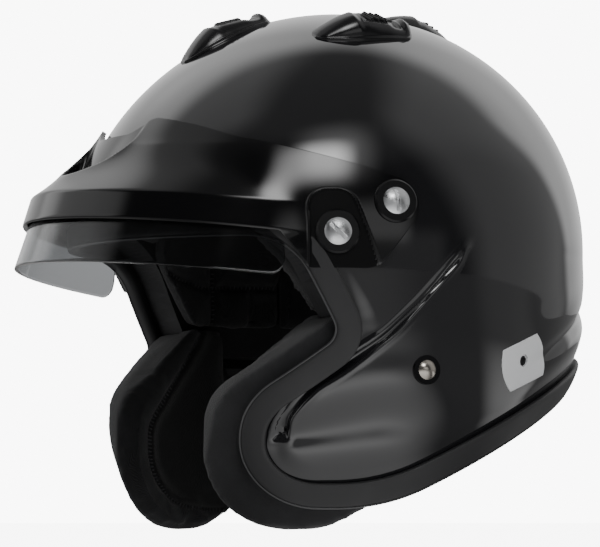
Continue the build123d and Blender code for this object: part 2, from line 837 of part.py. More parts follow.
def strap_rings():
    """Two D-shaped wire rings, one above the other."""
    middle = strap_chin_level - (4 * ring_wire_radius + 3 * gap + strap_thick) / 2
    points = [
        (ring_bar_x, -ring_half_width),
        (ring_bar_x, ring_half_width),
        (ring_bar_x - ring_shoulder_reach, ring_half_width),
        (ring_bar_x - ring_reach, ring_nose_half_width),
        (ring_bar_x - ring_reach, -ring_nose_half_width),
        (ring_bar_x - ring_shoulder_reach, -ring_half_width),
    ]
    rings = []
    for side in (1, -1):
        level = middle + side * (ring_wire_radius + gap / 2)
        ring_plane = Plane(origin=(0, rivet_y, level))
        route = ring_plane * FilletPolyline(*points, radius=ring_bend_radius, close=True)
        start = Plane(origin=route @ 0, z_dir=route % 0)
        rings.append(sweep(start * Circle(ring_wire_radius), path=route))
    return Compound(children=[solid for ring in rings for solid in ring.solids()])


def strap_snap():
    """Press snap that holds the folded end: a cap above, a cap below and a post through both layers."""
    top = strap_chin_level + strap_thick / 2
    low = strap_chin_level - strap_thick * 3 / 2 - gap
    plane = Plane(origin=(fold_wrap_x - snap_reach, rivet_y, 0))
    snap = rod(plane, snap_post_radius, low - snap_height, top + snap_height)
    snap += rod(plane, snap_radius, top, top + snap_height)
    return snap + rod(plane, snap_radius, low - snap_height, low)


def build():
    """Make every piece and give it its name."""
    parts["outer_shell"] = outer_shell()
    parts["edge_trim"] = edge_trim()
    parts["impact_liner"] = impact_liner()
    comfort_pads()
    cheek_pads()
    parts["neck_roll"] = neck_roll()
    parts["peak"] = peak()
    parts["peak_shade"] = peak_shade()
    peak_fasteners()
    roof_vents()
    terminal = anchor_terminal()
    parts["anchor_terminal_left"] = terminal
    parts["anchor_terminal_right"] = mirrored(terminal)
    ring, rivet = strap_rivet()
    parts["rivet_rings"] = pair(ring)
    parts["strap_rivet_left"] = rivet
    parts["strap_rivet_right"] = mirrored(rivet)
    hanger = strap_hanger()
    parts["strap_hanger_left"] = hanger
    parts["strap_hanger_right"] = mirrored(hanger)
    left, right = chin_strap()
    snap = strap_snap()
    parts["chin_strap_left"] = left
    parts["chin_strap_right"] = right - snap
    parts["strap_rings"] = strap_rings()
    parts["strap_snap"] = snap


build()
os.makedirs("parts", exist_ok=True)
for name, piece in parts.items():
    piece.label = name
    export_step(piece, f"parts/{name}.step")
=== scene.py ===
"""Looks of the open-face auto racing helmet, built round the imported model.

Lengths in the shapes are millimetres and become metres when a mesh is made. The face opening looks
to -Y, the wearer's left is +X and +Z is up.
"""

import json
import math

import bmesh
import bpy
import numpy as np
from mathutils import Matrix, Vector
from mathutils.bvhtree import BVHTree


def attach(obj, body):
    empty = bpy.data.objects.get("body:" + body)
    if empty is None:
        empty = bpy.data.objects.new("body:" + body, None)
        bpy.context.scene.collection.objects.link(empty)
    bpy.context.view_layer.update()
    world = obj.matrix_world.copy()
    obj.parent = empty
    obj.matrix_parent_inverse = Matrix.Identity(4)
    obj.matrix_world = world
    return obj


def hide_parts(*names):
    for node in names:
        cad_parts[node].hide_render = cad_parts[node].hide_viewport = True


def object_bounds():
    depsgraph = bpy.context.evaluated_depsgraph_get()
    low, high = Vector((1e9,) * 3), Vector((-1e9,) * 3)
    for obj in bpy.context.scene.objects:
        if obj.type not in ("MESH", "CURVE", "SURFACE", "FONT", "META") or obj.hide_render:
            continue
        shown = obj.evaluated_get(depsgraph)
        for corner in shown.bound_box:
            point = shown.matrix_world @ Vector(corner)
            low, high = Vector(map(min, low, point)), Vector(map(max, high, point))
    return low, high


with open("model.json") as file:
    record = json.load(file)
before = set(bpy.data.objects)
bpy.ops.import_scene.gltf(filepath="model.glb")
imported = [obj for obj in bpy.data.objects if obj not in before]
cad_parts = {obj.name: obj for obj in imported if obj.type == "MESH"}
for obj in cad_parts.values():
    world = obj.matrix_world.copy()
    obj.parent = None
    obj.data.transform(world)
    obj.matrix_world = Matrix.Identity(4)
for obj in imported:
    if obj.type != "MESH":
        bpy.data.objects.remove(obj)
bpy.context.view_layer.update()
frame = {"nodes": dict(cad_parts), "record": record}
nodes = frame["nodes"]
MM = 0.001

# Outer skin of the shell, with the shares by which its rings narrow below the widest level
WIDEST, RISE, LEAN = 139.0, 127.5, 0.045
HALF, REACH = 122.0, 135.4
DROPS = np.array([0.0, 0.18, 0.36, 0.54, 0.72, 0.93, 1.08])
DROP_WIDTHS = np.array([1.0, 0.992, 0.971, 0.934, 0.881, 0.797, 0.72])
DROP_FRONTS = np.array([1.0, 0.990, 0.968, 0.938, 0.894, 0.827, 0.76])
DROP_BACKS = np.array([1.0, 0.994, 0.975, 0.894, 0.798, 0.680, 0.60])

# Edge of the shell in side view: the brow's level, corners with their radii, and the hem's rise to the nape
BROW_LEVEL, HEM_LEVEL, HEM_BEND, NAPE_LEVEL = 142.0, 10.2, -19.2, 83.5
EDGE = [(-73.5, BROW_LEVEL, 30.0), (-49.3, 93.8, 9.0), (-87.2, 62.9, 28.0), (-87.2, HEM_LEVEL, 38.0),
        (HEM_BEND, HEM_LEVEL, 105.0)]
HEM_RISE = (NAPE_LEVEL - HEM_LEVEL) / (REACH - HEM_BEND)
FAR, HIGH = 200.0, 330.0
TRIM_BAND = 13.0

# The wall, how far its edge lies inside the trim, and the skin's usual distance from the upright axis
SHELL_WALL, TRIM_GRIP, GIRTH = 3.4, 5.0, 125

# Place of the head restraint's anchor in side view and the radius of the shell's hole behind it
ANCHOR, ANCHOR_HOLE = (54.9, 83.5), 6.0


def unit(vectors):
    """Vectors brought to length one along the last axis."""
    return vectors / np.maximum(np.linalg.norm(vectors, axis=-1, keepdims=True), 1e-9)


def smoothed(values, count):
    """Values averaged along their first axis with a bell-shaped window over count neighbours."""
    window = np.hanning(count) / np.hanning(count).sum()
    rims = [(count // 2, count // 2)] + [(0, 0)] * (values.ndim - 1)
    return np.apply_along_axis(np.convolve, 0, np.pad(values, rims, mode="edge"), window, "valid")


def smooth_step(low, high, value):
    """0 below low, 1 above high, and a cubic ease between them."""
    share = np.clip((value - low) / (high - low), 0, 1)
    return share * share * (3 - 2 * share)


def hump(value, middle, spread, power=2):
    """A bell-shaped rise of one at the middle."""
    return np.exp(-((value - middle) / spread) ** power)


def through(stations, values, at):
    """A smooth curve through the values: cubic Hermite pieces with averaged slopes, level at the start."""
    slopes = np.gradient(values, stations)
    slopes[0] = 0
    at = np.clip(at, stations[0], stations[-1])
    place = np.clip(np.searchsorted(stations, at) - 1, 0, len(stations) - 2)
    width = stations[place + 1] - stations[place]
    s = (at - stations[place]) / width
    return ((1 + 2 * s) * (1 - s) ** 2 * values[place] + s * (1 - s) ** 2 * width * slopes[place]
            + s * s * (3 - 2 * s) * values[place + 1] + s * s * (s - 1) * width * slopes[place + 1])


def ring_at(z, outset=0.0):
    """Half width, front reach, back reach and centre of the skin's ring at a height."""
    z = np.asarray(z, float)
    rise = RISE + outset
    share = np.clip((z - WIDEST) / rise, 0, 1)
    narrow = np.sqrt(np.maximum(1 - share**2, 0))
    drop = (WIDEST - z) / WIDEST
    under = z < WIDEST
    half = np.where(under, HALF * through(DROPS, DROP_WIDTHS, drop) + outset, (HALF + outset) * narrow)
    front = np.where(under, REACH * through(DROPS, DROP_FRONTS, drop) + outset, (REACH + outset) * narrow)
    back = np.where(under, REACH * through(DROPS, DROP_BACKS, drop) + outset, (REACH + outset) * narrow)
    return half, front, back, LEAN * rise * share


def skin_at(turn, z, outset=0.0):
    """Point of the skin: turn goes round from the brow's middle, 0, by the left, pi / 2, to the nape, pi."""
    half, front, back, centre = ring_at(z, outset)
    reach = np.where(np.cos(turn) > 0, front, back)
    return np.stack([half * np.sin(turn), centre - reach * np.cos(turn), z + 0 * turn], -1)


def skin_radius(bearing, z, outset=0.0, ahead=True):
    """Distance of the skin from the upright axis along a bearing, on its ring's front or back oval."""
    half, front, back, centre = ring_at(z, outset)
    half, reach = np.maximum(half, 1e-3), np.maximum(np.where(ahead, front, back), 1e-3)
    square = (np.sin(bearing) / half) ** 2 + (np.cos(bearing) / reach) ** 2
    slope = centre * np.cos(bearing) / reach**2
    rest = (centre / reach) ** 2 - 1
    return (np.sqrt(np.maximum(slope**2 - square * rest, 0)) - slope) / square


def polar(points):
    """Bearing from the front and distance from the upright axis."""
    return np.arctan2(points[..., 0], -points[..., 1]), np.hypot(points[..., 0], points[..., 1])


def turn_of(y, z):
    """The turn at which the left side of the skin has this y at this height."""
    _, front, back, centre = ring_at(z)
    away = y - centre
    return np.arccos(np.clip(-away / np.where(away < 0, front, back), -1, 1))


def side_at(y, z):
    """Point of the skin's left side, by its place in side view."""
    return skin_at(turn_of(y, z), z)


def normal_at(turn, z):
    """Outward normal of the skin, from the slopes along turn and height."""
    step = 0.01
    around = skin_at(turn + step, z) - skin_at(turn - step, z)
    upward = skin_at(turn, np.minimum(z + 0.5, WIDEST + RISE)) - skin_at(turn, z - 0.5)
    return unit(np.cross(around, upward))


def mesh_piece(name, points, faces, body, material, replaces=()):
    """A piece from points in millimetres and faces, on its body."""
    mesh = bpy.data.meshes.new(name)
    points = np.asarray(points, float).reshape(-1, 3) * MM
    faces = [tuple(int(i) for i in face) for face in faces]
    mesh.from_pydata(points.tolist(), [], faces)
    mesh.validate()
    mesh.update()
    piece = bpy.data.objects.new(name, mesh)
    bpy.context.scene.collection.objects.link(piece)
    mesh.polygons.foreach_set("use_smooth", [True] * len(mesh.polygons))
    mesh.materials.append(material)
    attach(piece, body)
    if replaces:
        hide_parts(*replaces)
    return piece


def tidy(piece, merge=0.00001):
    """Merge doubled points, drop flat faces and loose edges, and turn all faces outwards."""
    mesh = piece.data
    work = bmesh.new()
    work.from_mesh(mesh)
    bmesh.ops.remove_doubles(work, verts=work.verts, dist=merge)
    bmesh.ops.dissolve_degenerate(work, edges=work.edges, dist=merge / 4)
    bmesh.ops.delete(work, geom=[edge for edge in work.edges if not edge.link_faces], context="EDGES")
    bmesh.ops.recalc_face_normals(work, faces=work.faces)
    work.to_mesh(mesh)
    work.free()
    mesh.update()
    return piece


def grid_faces(rows, columns, close_rows=False, close_columns=False):
    """Quads of a grid of points, rows by columns, that may close on itself either way."""
    r = np.arange(rows if close_rows else rows - 1)
    c = np.arange(columns if close_columns else columns - 1)
    r, c = np.meshgrid(r, c, indexing="ij")
    r2, c2 = (r + 1) % rows, (c + 1) % columns
    quads = np.stack([r * columns + c, r * columns + c2, r2 * columns + c2, r2 * columns + c], -1)
    return quads.reshape(-1, 4)


def thick_sheet(name, outer, inner, body, material, replaces=(), keep=None, close_columns=False):
    """A closed wall between two grids of points, over all cells or those that keep marks: the outer cells,
    the inner cells turned round, and a strip of quads where a kept cell has no kept neighbour."""
    rows, columns = outer.shape[:2]
    count = rows * columns
    c_cells = columns if close_columns else columns - 1
    kept = np.ones((rows - 1, c_cells), bool) if keep is None else keep[:rows - 1, :c_cells]
    r, c = np.nonzero(kept)
    c2 = (c + 1) % columns
    a, b, d, e = r * columns + c, r * columns + c2, (r + 1) * columns + c2, (r + 1) * columns + c
    faces = [np.stack([a, b, d, e], -1), np.stack([e, d, b, a], -1) + count]
    for (dr, dc), (p, q) in (((-1, 0), (a, b)), ((1, 0), (d, e)), ((0, -1), (e, a)), ((0, 1), (b, d))):
        nr, nc = r + dr, c + dc
        if close_columns:
            nc = nc % c_cells
        inside = (nr >= 0) & (nr < rows - 1) & (nc >= 0) & (nc < c_cells)
        near = np.zeros(len(r), bool)
        near[inside] = kept[nr[inside], nc[inside]]
        rim = ~near
        faces.append(np.stack([q[rim], p[rim], p[rim] + count, q[rim] + count], -1))
    faces = np.concatenate(faces)
    points = np.concatenate([outer.reshape(-1, 3), inner.reshape(-1, 3)])
    used, faces = np.unique(faces, return_inverse=True)
    return mesh_piece(name, points[used], faces.reshape(-1, 4), body, material, replaces)


def rounded_path(corners, step):
    """Side-view points along straight runs and arcs: each corner has y, z and its radius."""
    points = []
    for k in range(1, len(corners) - 1):
        before, here, after = (np.array(corners[j][:2], float) for j in (k - 1, k, k + 1))
        radius = corners[k][2]
        u, w = unit(before - here), unit(after - here)
        half = math.acos(np.clip(np.dot(u, w), -1, 1)) / 2
        reach = radius / math.tan(half)
        middle = here + unit(u + w) * radius / math.sin(half)
        first, last = here + u * reach - middle, here + w * reach - middle
        start = math.atan2(first[1], first[0])
        sweep = (math.atan2(last[1], last[0]) - start + math.pi) % (2 * math.pi) - math.pi
        count = max(int(abs(sweep) * radius / step), 6)
        angle = start + sweep * np.linspace(0, 1, count)
        points.append(middle + radius * np.stack([np.cos(angle), np.sin(angle)], -1))
    path = np.concatenate([[corners[0][:2]], *points, [corners[-1][:2]]])
    gaps = np.linalg.norm(np.diff(path, axis=0), axis=1)
    run = np.concatenate([[0], np.cumsum(gaps)])
    at = np.linspace(0, run[-1], int(run[-1] / step) + 1)
    return np.stack([np.interp(at, run, path[:, 0]), np.interp(at, run, path[:, 1])], -1)


def edge_loop():
    """The shell's edge as a closed loop of turn and height: brow, face opening, cheek, hem and nape."""
    step, brow_start, back = 1.6, -110.0, 60.0
    hem_end = HEM_LEVEL + (back - HEM_BEND) * HEM_RISE
    path = rounded_path([(brow_start, BROW_LEVEL, 0), *EDGE, (back, hem_end, 0)], step)
    turn = turn_of(path[:, 0], path[:, 1])
    brow = np.linspace(0, turn[0], int(turn[0] * REACH / step))[:-1]
    nape = np.linspace(turn[-1], math.pi, int((math.pi - turn[-1]) * REACH * 0.8 / step))[1:]
    level = np.full(len(nape), 60.0)
    for _ in range(12):
        level = HEM_LEVEL + (skin_at(nape, level)[:, 1] - HEM_BEND) * HEM_RISE
    turns = np.concatenate([brow, turn, nape])
    levels = np.concatenate([np.full(len(brow), BROW_LEVEL), path[:, 1], level])
    return (np.concatenate([turns, -turns[-2:0:-1]]), np.concatenate([levels, levels[-2:0:-1]]))


def line_distance(y, z, line):
    """Least distance in side view from places to an open line of points."""
    best = np.full(np.shape(y), 1e18)
    for (y0, z0), (y1, z1) in zip(line[:-1], line[1:]):
        over, up = y1 - y0, z1 - z0
        share = np.clip(((y - y0) * over + (z - z0) * up) / max(over**2 + up**2, 1e-9), 0, 1)
        best = np.minimum(best, (y - y0 - share * over) ** 2 + (z - z0 - share * up) ** 2)
    return np.sqrt(best)


def side_distance(y, z, outline):
    """Signed distance in side view to a closed outline, positive inside."""
    ring = np.concatenate([outline, outline[:1]])
    away = line_distance(y, z, ring)
    inside = np.zeros(np.shape(y), bool)
    for (y0, z0), (y1, z1) in zip(ring[:-1], ring[1:]):
        inside ^= ((z0 > z) != (z1 > z)) & (y < y0 + (z - z0) * (y1 - y0) / (z1 - z0 or 1e-9))
    return np.where(inside, away, -away)


def kept_outline():
    """Side view of what the shell keeps, far past its front and back."""
    hem_end = HEM_LEVEL + (FAR - HEM_BEND) * HEM_RISE
    path = rounded_path([(-FAR, BROW_LEVEL, 0), *EDGE, (FAR, hem_end, 0)], 3.0)
    return np.concatenate([path, [[FAR, HIGH], [-FAR, HIGH]]])


def round_edges(piece, width, angle=30.0, material=-1):
    """Round edges sharper than an angle over a width, in a material slot of their own if one is given."""
    rounding = piece.modifiers.new("rounding", "BEVEL")
    rounding.width = width * MM
    rounding.segments = 2
    rounding.limit_method = "ANGLE"
    rounding.angle_limit = math.radians(angle)
    rounding.material = material


# Materials

def new_node(tree, kind, inputs=(), **settings):
    """A node with its settings made and each input linked to a socket or given a plain value."""
    node = tree.nodes.new("ShaderNode" + kind)
    for label, value in settings.items():
        setattr(node, label, value)
    for label, value in dict(inputs).items():
        if isinstance(value, bpy.types.NodeSocket):
            tree.links.new(value, node.inputs[label])
        else:
            node.inputs[label].default_value = value
    return node


def maths(tree, operation, *values):
    """The result of one operation on sockets or numbers."""
    return new_node(tree, "Math", enumerate(values), operation=operation).outputs["Value"]


def dot_product(tree, first, second):
    """How far two directions agree."""
    return new_node(tree, "VectorMath", {0: first, 1: second}, operation="DOT_PRODUCT").outputs["Value"]


def ramp_between(tree, source, low, high, out_low, out_high):
    """Map a value from one range to another, with soft ends."""
    inputs = {"Value": source, "From Min": low, "From Max": high, "To Min": out_low, "To Max": out_high}
    return new_node(tree, "MapRange", inputs, interpolation_type="SMOOTHSTEP").outputs["Result"]


def object_place(tree):
    """Places in the object's own coordinates."""
    return new_node(tree, "TexCoord").outputs["Object"]


def noise_node(tree, scale, detail=2.0, rough=0.5):
    """Noise on the object's coordinates, scale in cycles per metre."""
    inputs = {"Vector": object_place(tree), "Scale": scale, "Detail": detail, "Roughness": rough}
    return new_node(tree, "TexNoise", inputs).outputs


def group_named(name, inputs, outputs):
    """An empty shader node group: the group, the sockets it is given and the sockets it fills."""
    group = bpy.data.node_groups.new(name, "ShaderNodeTree")
    for label, kind, value in inputs:
        socket = group.interface.new_socket(label, in_out="INPUT", socket_type="NodeSocket" + kind)
        if value is not None:
            socket.default_value = value
    for label, kind in outputs:
        group.interface.new_socket(label, in_out="OUTPUT", socket_type="NodeSocket" + kind)
    return group, group.nodes.new("NodeGroupInput").outputs, group.nodes.new("NodeGroupOutput").inputs


def surface_grain_group():
    """Fine grain of a moulded or lacquered surface: roughness that drifts, and a bump height."""
    group, given, filled_in = group_named("surface_grain", [
        ("Rough Low", "Float", 0.1), ("Rough High", "Float", 0.2),
        ("Drift Scale", "Float", 30.0), ("Grain Scale", "Float", 900.0),
    ], [("Roughness", "Float"), ("Height", "Float")])
    drift = noise_node(group, given["Drift Scale"], 3.0)["Fac"]
    rough = ramp_between(group, drift, 0.3, 0.7, given["Rough Low"], given["Rough High"])
    group.links.new(rough, filled_in["Roughness"])
    group.links.new(noise_node(group, given["Grain Scale"])["Fac"], filled_in["Height"])
    return group


def knit_group():
    """Brushed knit: crossed wales and courses as a height, with a lighter nap in drifts."""
    group, given, filled_in = group_named("knit_cloth", [
        ("Dark", "Color", (0.01, 0.01, 0.01, 1)), ("Light", "Color", (0.05, 0.05, 0.05, 1)),
        ("Stitch Scale", "Float", 700.0),
    ], [("Color", "Color"), ("Height", "Float")])
    warp = {0: noise_node(group, 500.0)["Color"], 1: (0.0003, 0.0003, 0.0003), 2: object_place(group)}
    place = new_node(group, "VectorMath", warp, operation="MULTIPLY_ADD").outputs["Vector"]
    thread_run = {"Scale": given["Stitch Scale"], "Vector": place, "Distortion": 0.6, "Detail": 1.0}
    waves = [new_node(group, "TexWave", thread_run, bands_direction=way) for way in "XZ"]
    wales, courses = (wave.outputs["Fac"] for wave in waves)
    fuzz = noise_node(group, 1400.0, 3.0, 0.7)["Fac"]
    height = maths(group, "ADD", maths(group, "MULTIPLY", wales, courses), fuzz)
    nap = maths(group, "MULTIPLY", noise_node(group, 45.0, 4.0, 0.6)["Fac"], height)
    shade = ramp_between(group, nap, 0.25, 0.75, 0.0, 1.0)
    blend = {"Factor": shade, "A": given["Dark"], "B": given["Light"]}
    mix = new_node(group, "Mix", blend, data_type="RGBA")
    group.links.new(mix.outputs["Result"], filled_in["Color"])
    group.links.new(height, filled_in["Height"])
    return group


def new_material(name, color, roughness, metallic=0.0, **sockets):
    """A Principled material with its plain values on the shader's own sockets."""
    material = bpy.data.materials.new(name)
    material.use_nodes = True
    shader = material.node_tree.nodes["Principled BSDF"].inputs
    shader["Base Color"].default_value = (*color, 1)
    shader["Roughness"].default_value = roughness
    shader["Metallic"].default_value = metallic
    for label, value in sockets.items():
        shader[label.replace("_", " ")].default_value = value
    return material


def fed(material, socket, group, values, strength, distance):
    """Feed one of the material's sockets and its bumped normal from a node group."""
    tree = material.node_tree
    shader = tree.nodes["Principled BSDF"].inputs
    node = new_node(tree, "Group", node_tree=group)
    for label, value in values.items():
        node.inputs[label].default_value = value
    tree.links.new(node.outputs[0], shader[socket])
    bump = {"Strength": strength, "Distance": distance, "Height": node.outputs["Height"]}
    tree.links.new(new_node(tree, "Bump", bump).outputs["Normal"], shader["Normal"])
    return material


def grained(name, color, low, high, grain_scale, strength, distance, drift=30.0, metallic=0.0, **sockets):
    """A material whose roughness drifts and whose surface has fine grain."""
    material = new_material(name, color, (low + high) / 2, metallic, **sockets)
    values = {"Rough Low": low, "Rough High": high, "Grain Scale": grain_scale, "Drift Scale": drift}
    return fed(material, "Roughness", GRAIN, values, strength, distance)


def knitted(name, dark, light, scale, strength, distance, sheen):
    """A fabric material with its knit, nap and sheen."""
    material = new_material(name, light, 0.92, Sheen_Weight=sheen, Sheen_Roughness=0.5)
    values = {"Dark": (*dark, 1), "Light": (*light, 1), "Stitch Scale": scale}
    return fed(material, "Base Color", KNIT, values, strength, distance)


def painted_shade_where(material, name, least):
    """Paint shade on a fabric: scale its colours down to their least share where the named point attribute
    is one.
    """
    tree = material.node_tree
    color = tree.nodes["Principled BSDF"].inputs["Base Color"]
    shade_mark = new_node(tree, "Attribute", attribute_name=name).outputs["Fac"]
    dim = {0: color.links[0].from_socket, "Scale": ramp_between(tree, shade_mark, 0.0, 1.0, 1.0, least)}
    tree.links.new(new_node(tree, "VectorMath", dim, operation="SCALE").outputs["Vector"], color)


GRAIN = surface_grain_group()
KNIT = knit_group()
gel_coat = grained("gel_coat_black", (0.009, 0.009, 0.0102), 0.035, 0.06, 260.0, 0.02, 0.00002,
                   Coat_Weight=0.6, Coat_Roughness=0.02, IOR=1.5)
peak_plastic = grained("peak_black", (0.003, 0.003, 0.0035), 0.09, 0.13, 700.0, 0.03, 0.00002, IOR=1.5)
# The sunk arm panels get a darker, less reflective plastic: painted shade in the recess.
peak_recess_painted_shade = grained("peak_recess_painted_shade", (0.002, 0.002, 0.0023), 0.5, 0.65, 700.0, 0.05, 0.00003,
                      Specular_IOR_Level=0.12)
# The peak's rounded rim is painted a lighter grey: a painted highlight along its edges.
peak_rim_painted_highlight = grained("peak_rim_painted_highlight", (0.20, 0.20, 0.205), 0.3, 0.4, 900.0, 0.05, 0.00003, IOR=1.5)
vent_plastic = grained("vent_black", (0.009, 0.009, 0.010), 0.14, 0.22, 900.0, 0.04, 0.00003, IOR=1.5)
trim_rubber = grained("trim_rubber", (0.022, 0.022, 0.023), 0.5, 0.66, 1600.0, 0.25, 0.00008, IOR=1.45)
# The bead is glossier than the band, and its lighter colour is a painted highlight along the trim's inner
# edge.
trim_bead_painted_highlight = grained("trim_bead", (0.05, 0.05, 0.052), 0.28, 0.4, 1600.0, 0.1, 0.00004, IOR=1.5)
liner_foam = grained("bead_foam", (0.012, 0.012, 0.013), 0.75, 0.9, 420.0, 0.5, 0.0004)
plate_plastic = grained("backing_plate", (0.01, 0.01, 0.011), 0.4, 0.55, 900.0, 0.1, 0.00005)
washer_plastic = grained("washer_black", (0.003, 0.003, 0.0035), 0.2, 0.3, 1200.0, 0.05, 0.00003,
                         Specular_IOR_Level=0.25)
screw_metal = grained("screw_aluminium", (0.62, 0.63, 0.64), 0.24, 0.46, 2200.0, 0.16, 0.00006, 200.0, 1.0)
steel = grained("plated_steel", (0.6, 0.6, 0.61), 0.22, 0.36, 2000.0, 0.1, 0.00004, 120.0, 1.0)
rivet_metal = grained("rivet_nickel", (0.42, 0.39, 0.35), 0.2, 0.34, 1800.0, 0.1, 0.00004, 200.0, 1.0)
dark_steel = grained("blackened_steel", (0.03, 0.03, 0.032), 0.42, 0.55, 1600.0, 0.1, 0.00004, 120.0, 0.4)
chrome = grained("ring_chrome", (0.75, 0.75, 0.77), 0.05, 0.1, 1500.0, 0.02, 0.00002, 90.0, 1.0)
plate_grey = grained("bare_grey_plate", (0.80, 0.81, 0.82), 0.35, 0.5, 1500.0, 0.06, 0.00003)
lining = knitted("lining_knit", (0.003, 0.003, 0.0035), (0.016, 0.016, 0.018), 1500.0, 0.5, 0.0003, 0.12)
jersey = knitted("cheek_jersey", (0.005, 0.005, 0.006), (0.026, 0.026, 0.029), 1700.0, 0.5, 0.0003, 0.2)
# The cheek jersey is darkened on the inner face behind the seam: painted shade.
painted_shade_where(jersey, "behind_seam", 0.18)
webbing = knitted("strap_webbing", (0.004, 0.004, 0.004), (0.016, 0.016, 0.017), 650.0, 0.8, 0.0005, 0.1)
thread = knitted("stitch_thread", (0.03, 0.03, 0.032), (0.10, 0.10, 0.105), 1500.0, 0.4, 0.0002, 0.2)
smoke = new_material("smoke_tint", (0.36, 0.37, 0.38), 0.03, Transmission_Weight=1.0, IOR=1.45)


# Shell

# The blade-shaped crease's two curves in side view, from the brow down to the chin
CREASE_UPPER = [(18.0, 142.5), (12.5, 136.9), (7.4, 131.3), (-9.3, 112.9), (-27.4, 95.7), (-41.1, 85.9),
                (-52.0, 78.5), (-62.0, 71.0), (-69.0, 62.5), (-74.0, 52.0), (-74.5, 42.0)]
CREASE_LOWER = [(18.0, 142.5), (12.5, 136.2), (10.1, 130.5), (-6.4, 113.0), (-22.8, 94.9), (-35.7, 84.3),
                (-47.0, 75.3), (-57.2, 68.3), (-62.9, 61.2), (-67.6, 53.4), (-67.7, 42.0)]


def spaced(low, high, marks, fine, coarse):
    """Values from low to high whose spacing is fine inside the marked spans and coarse outside, with a
    gradual change between."""
    values = [low]
    while values[-1] < high - 1e-9:
        here = values[-1]
        away = min([max(a - here, here - b, 0) for a, b in marks] + [1e9])
        values.append(here + fine + (coarse - fine) * min(away / (12 * coarse), 1))
    values = np.array(values)
    return low + (values - low) * (high - low) / (values[-1] - low)


def even_line(points):
    """A line through the points in side view, evened out and smoothed."""
    points = np.array(points)
    at = np.linspace(0, len(points) - 1, 160)
    return smoothed(np.stack([np.interp(at, range(len(points)), points[:, k]) for k in (0, 1)], -1), 15)


def crease_line(turn, z):
    """Height of the blade-shaped crease at a place in side view: a hollow between two curves, with a
    raised lip along each."""
    y = skin_at(np.abs(turn), z)[..., 1]
    outline = np.concatenate([even_line(CREASE_UPPER), even_line(CREASE_LOWER)[::-1]])
    near = (y > -90) & (y < 30) & (z > 30) & (z < 150)
    height = np.zeros(np.shape(z))
    inside = side_distance(y[near], z[near], outline)
    lip = 0.8 * hump(inside, -0.8, 0.9)
    hollow = 2.0 * smooth_step(-0.3, 1.8, inside)
    height[near] = (lip - hollow) * smooth_step(34, 52, z[near]) * smooth_step(143, 134, z[near])
    return height


def cheek_form(y, z):
    """Soft modelling of the cheek: a long leaf-shaped channel that runs back from the chin."""
    channel_z = 45.5 + 9.0 * smooth_step(-80, -20, y) - 3.0 * smooth_step(-10, 40, y)
    width = 6.0 + 5.0 * smooth_step(-80, -30, y)
    along = smooth_step(-84, -66, y) * smooth_step(22, -30, y)
    off = z - channel_z
    return along * (1.2 * hump(off, 17, 11.0) + 0.9 * hump(off, -17, 10.0) - 1.9 * hump(off, 0, width))


def nape_form(y, z):
    """The shell's kink at the nape: a step in over the hem, with a rounded lip under it that runs
    forward and down, and a crease over the lip."""
    across = z - (104.0 - 0.52 * (105.0 - y))
    notch, lip, crest = 1.3 * hump(across, 1.0, 3.4), hump(across, -8.0, 5.0), 0.5 * hump(across, 15.0, 9.0)
    return smooth_step(50, 92, y) * (lip + crest - notch)


def edge_roll(inside):
    """The skin rolls down a little towards the trim."""
    return -1.1 * (1 - smooth_step(TRIM_BAND - 1.0, TRIM_BAND + 7.0, inside))


def shell_form(turn, z):
    """Everything that moves the shell's skin along its normal, in millimetres."""
    y = skin_at(turn, z)[..., 1]
    around = np.abs(np.mod(turn + math.pi, 2 * math.pi) - math.pi)
    inside = np.full(np.shape(z), 99.0)
    low = z < 175
    inside[low] = side_distance(y[low], z[low], KEPT)
    return crease_line(around, z) + cheek_form(y, z) + nape_form(y, z) + edge_roll(inside), inside


def outer_skin():
    """The shell: the skin's grid moved by its form, and the same grid a wall's thickness inside."""
    front_turn, back_turn = float(turn_of(-80.0, 60.0)), float(turn_of(25.0, 100.0))
    half_turns = spaced(0, math.pi, [(front_turn - 0.05, back_turn)], 1.25 / GIRTH, 3.2 / GIRTH)
    low_rows = spaced(8.0, WIDEST, [(34, 139)], 1.25, 2.6)
    lift = spaced(0, math.pi / 2, [(0, 0.02)], 2.2 / GIRTH, 3.4 / GIRTH)
    levels = np.concatenate([low_rows, WIDEST + RISE * np.sin(lift[1:])])
    levels[-1] = WIDEST + RISE - 1e-9
    turn, z = np.meshgrid(np.concatenate([half_turns, -half_turns[-2:0:-1]]), levels)
    form, inside = shell_form(turn, z)
    normal = normal_at(turn, np.minimum(z, WIDEST + RISE - 0.6))
    normal[-1] = (0, 0, 1)
    base = skin_at(turn, z)
    outer = base + normal * form[..., None]
    inner = base - normal * SHELL_WALL
    keep = inside > TRIM_GRIP
    for hand in (1, -1):
        keep &= np.linalg.norm(base - side_at(*ANCHOR) * [hand, 1, 1], axis=-1) > ANCHOR_HOLE
    cells = keep[:-1] & keep[1:]
    cells = cells & np.roll(cells, -1, axis=1)
    cells = np.concatenate([cells, cells[-1:]])
    shell = thick_sheet("helmet_shell", outer, inner, "helmet", gel_coat, ("outer_shell",), cells, True)
    tidy(shell, 0.00003)


# Trim

def along_skin(turns, levels):
    """Frames along a closed line on the skin: points, outward normals, and the way off the shell."""
    point = skin_at(turns, levels)
    normal = normal_at(turns, levels)
    run = np.roll(point, -1, axis=0) - np.roll(point, 1, axis=0)
    kernel = np.array([1, 2, 3, 2, 1]) / 9
    run = sum(w * np.roll(run, k - 2, axis=0) for k, w in enumerate(kernel))
    run = unit(run)
    normal = unit(normal - run * (normal * run).sum(1, keepdims=True))
    off = np.cross(run, normal)
    inward = np.array([0.0, 20.0, 190.0]) - point
    if (off * inward).sum() > 0:
        off = -off
    return point, normal, off


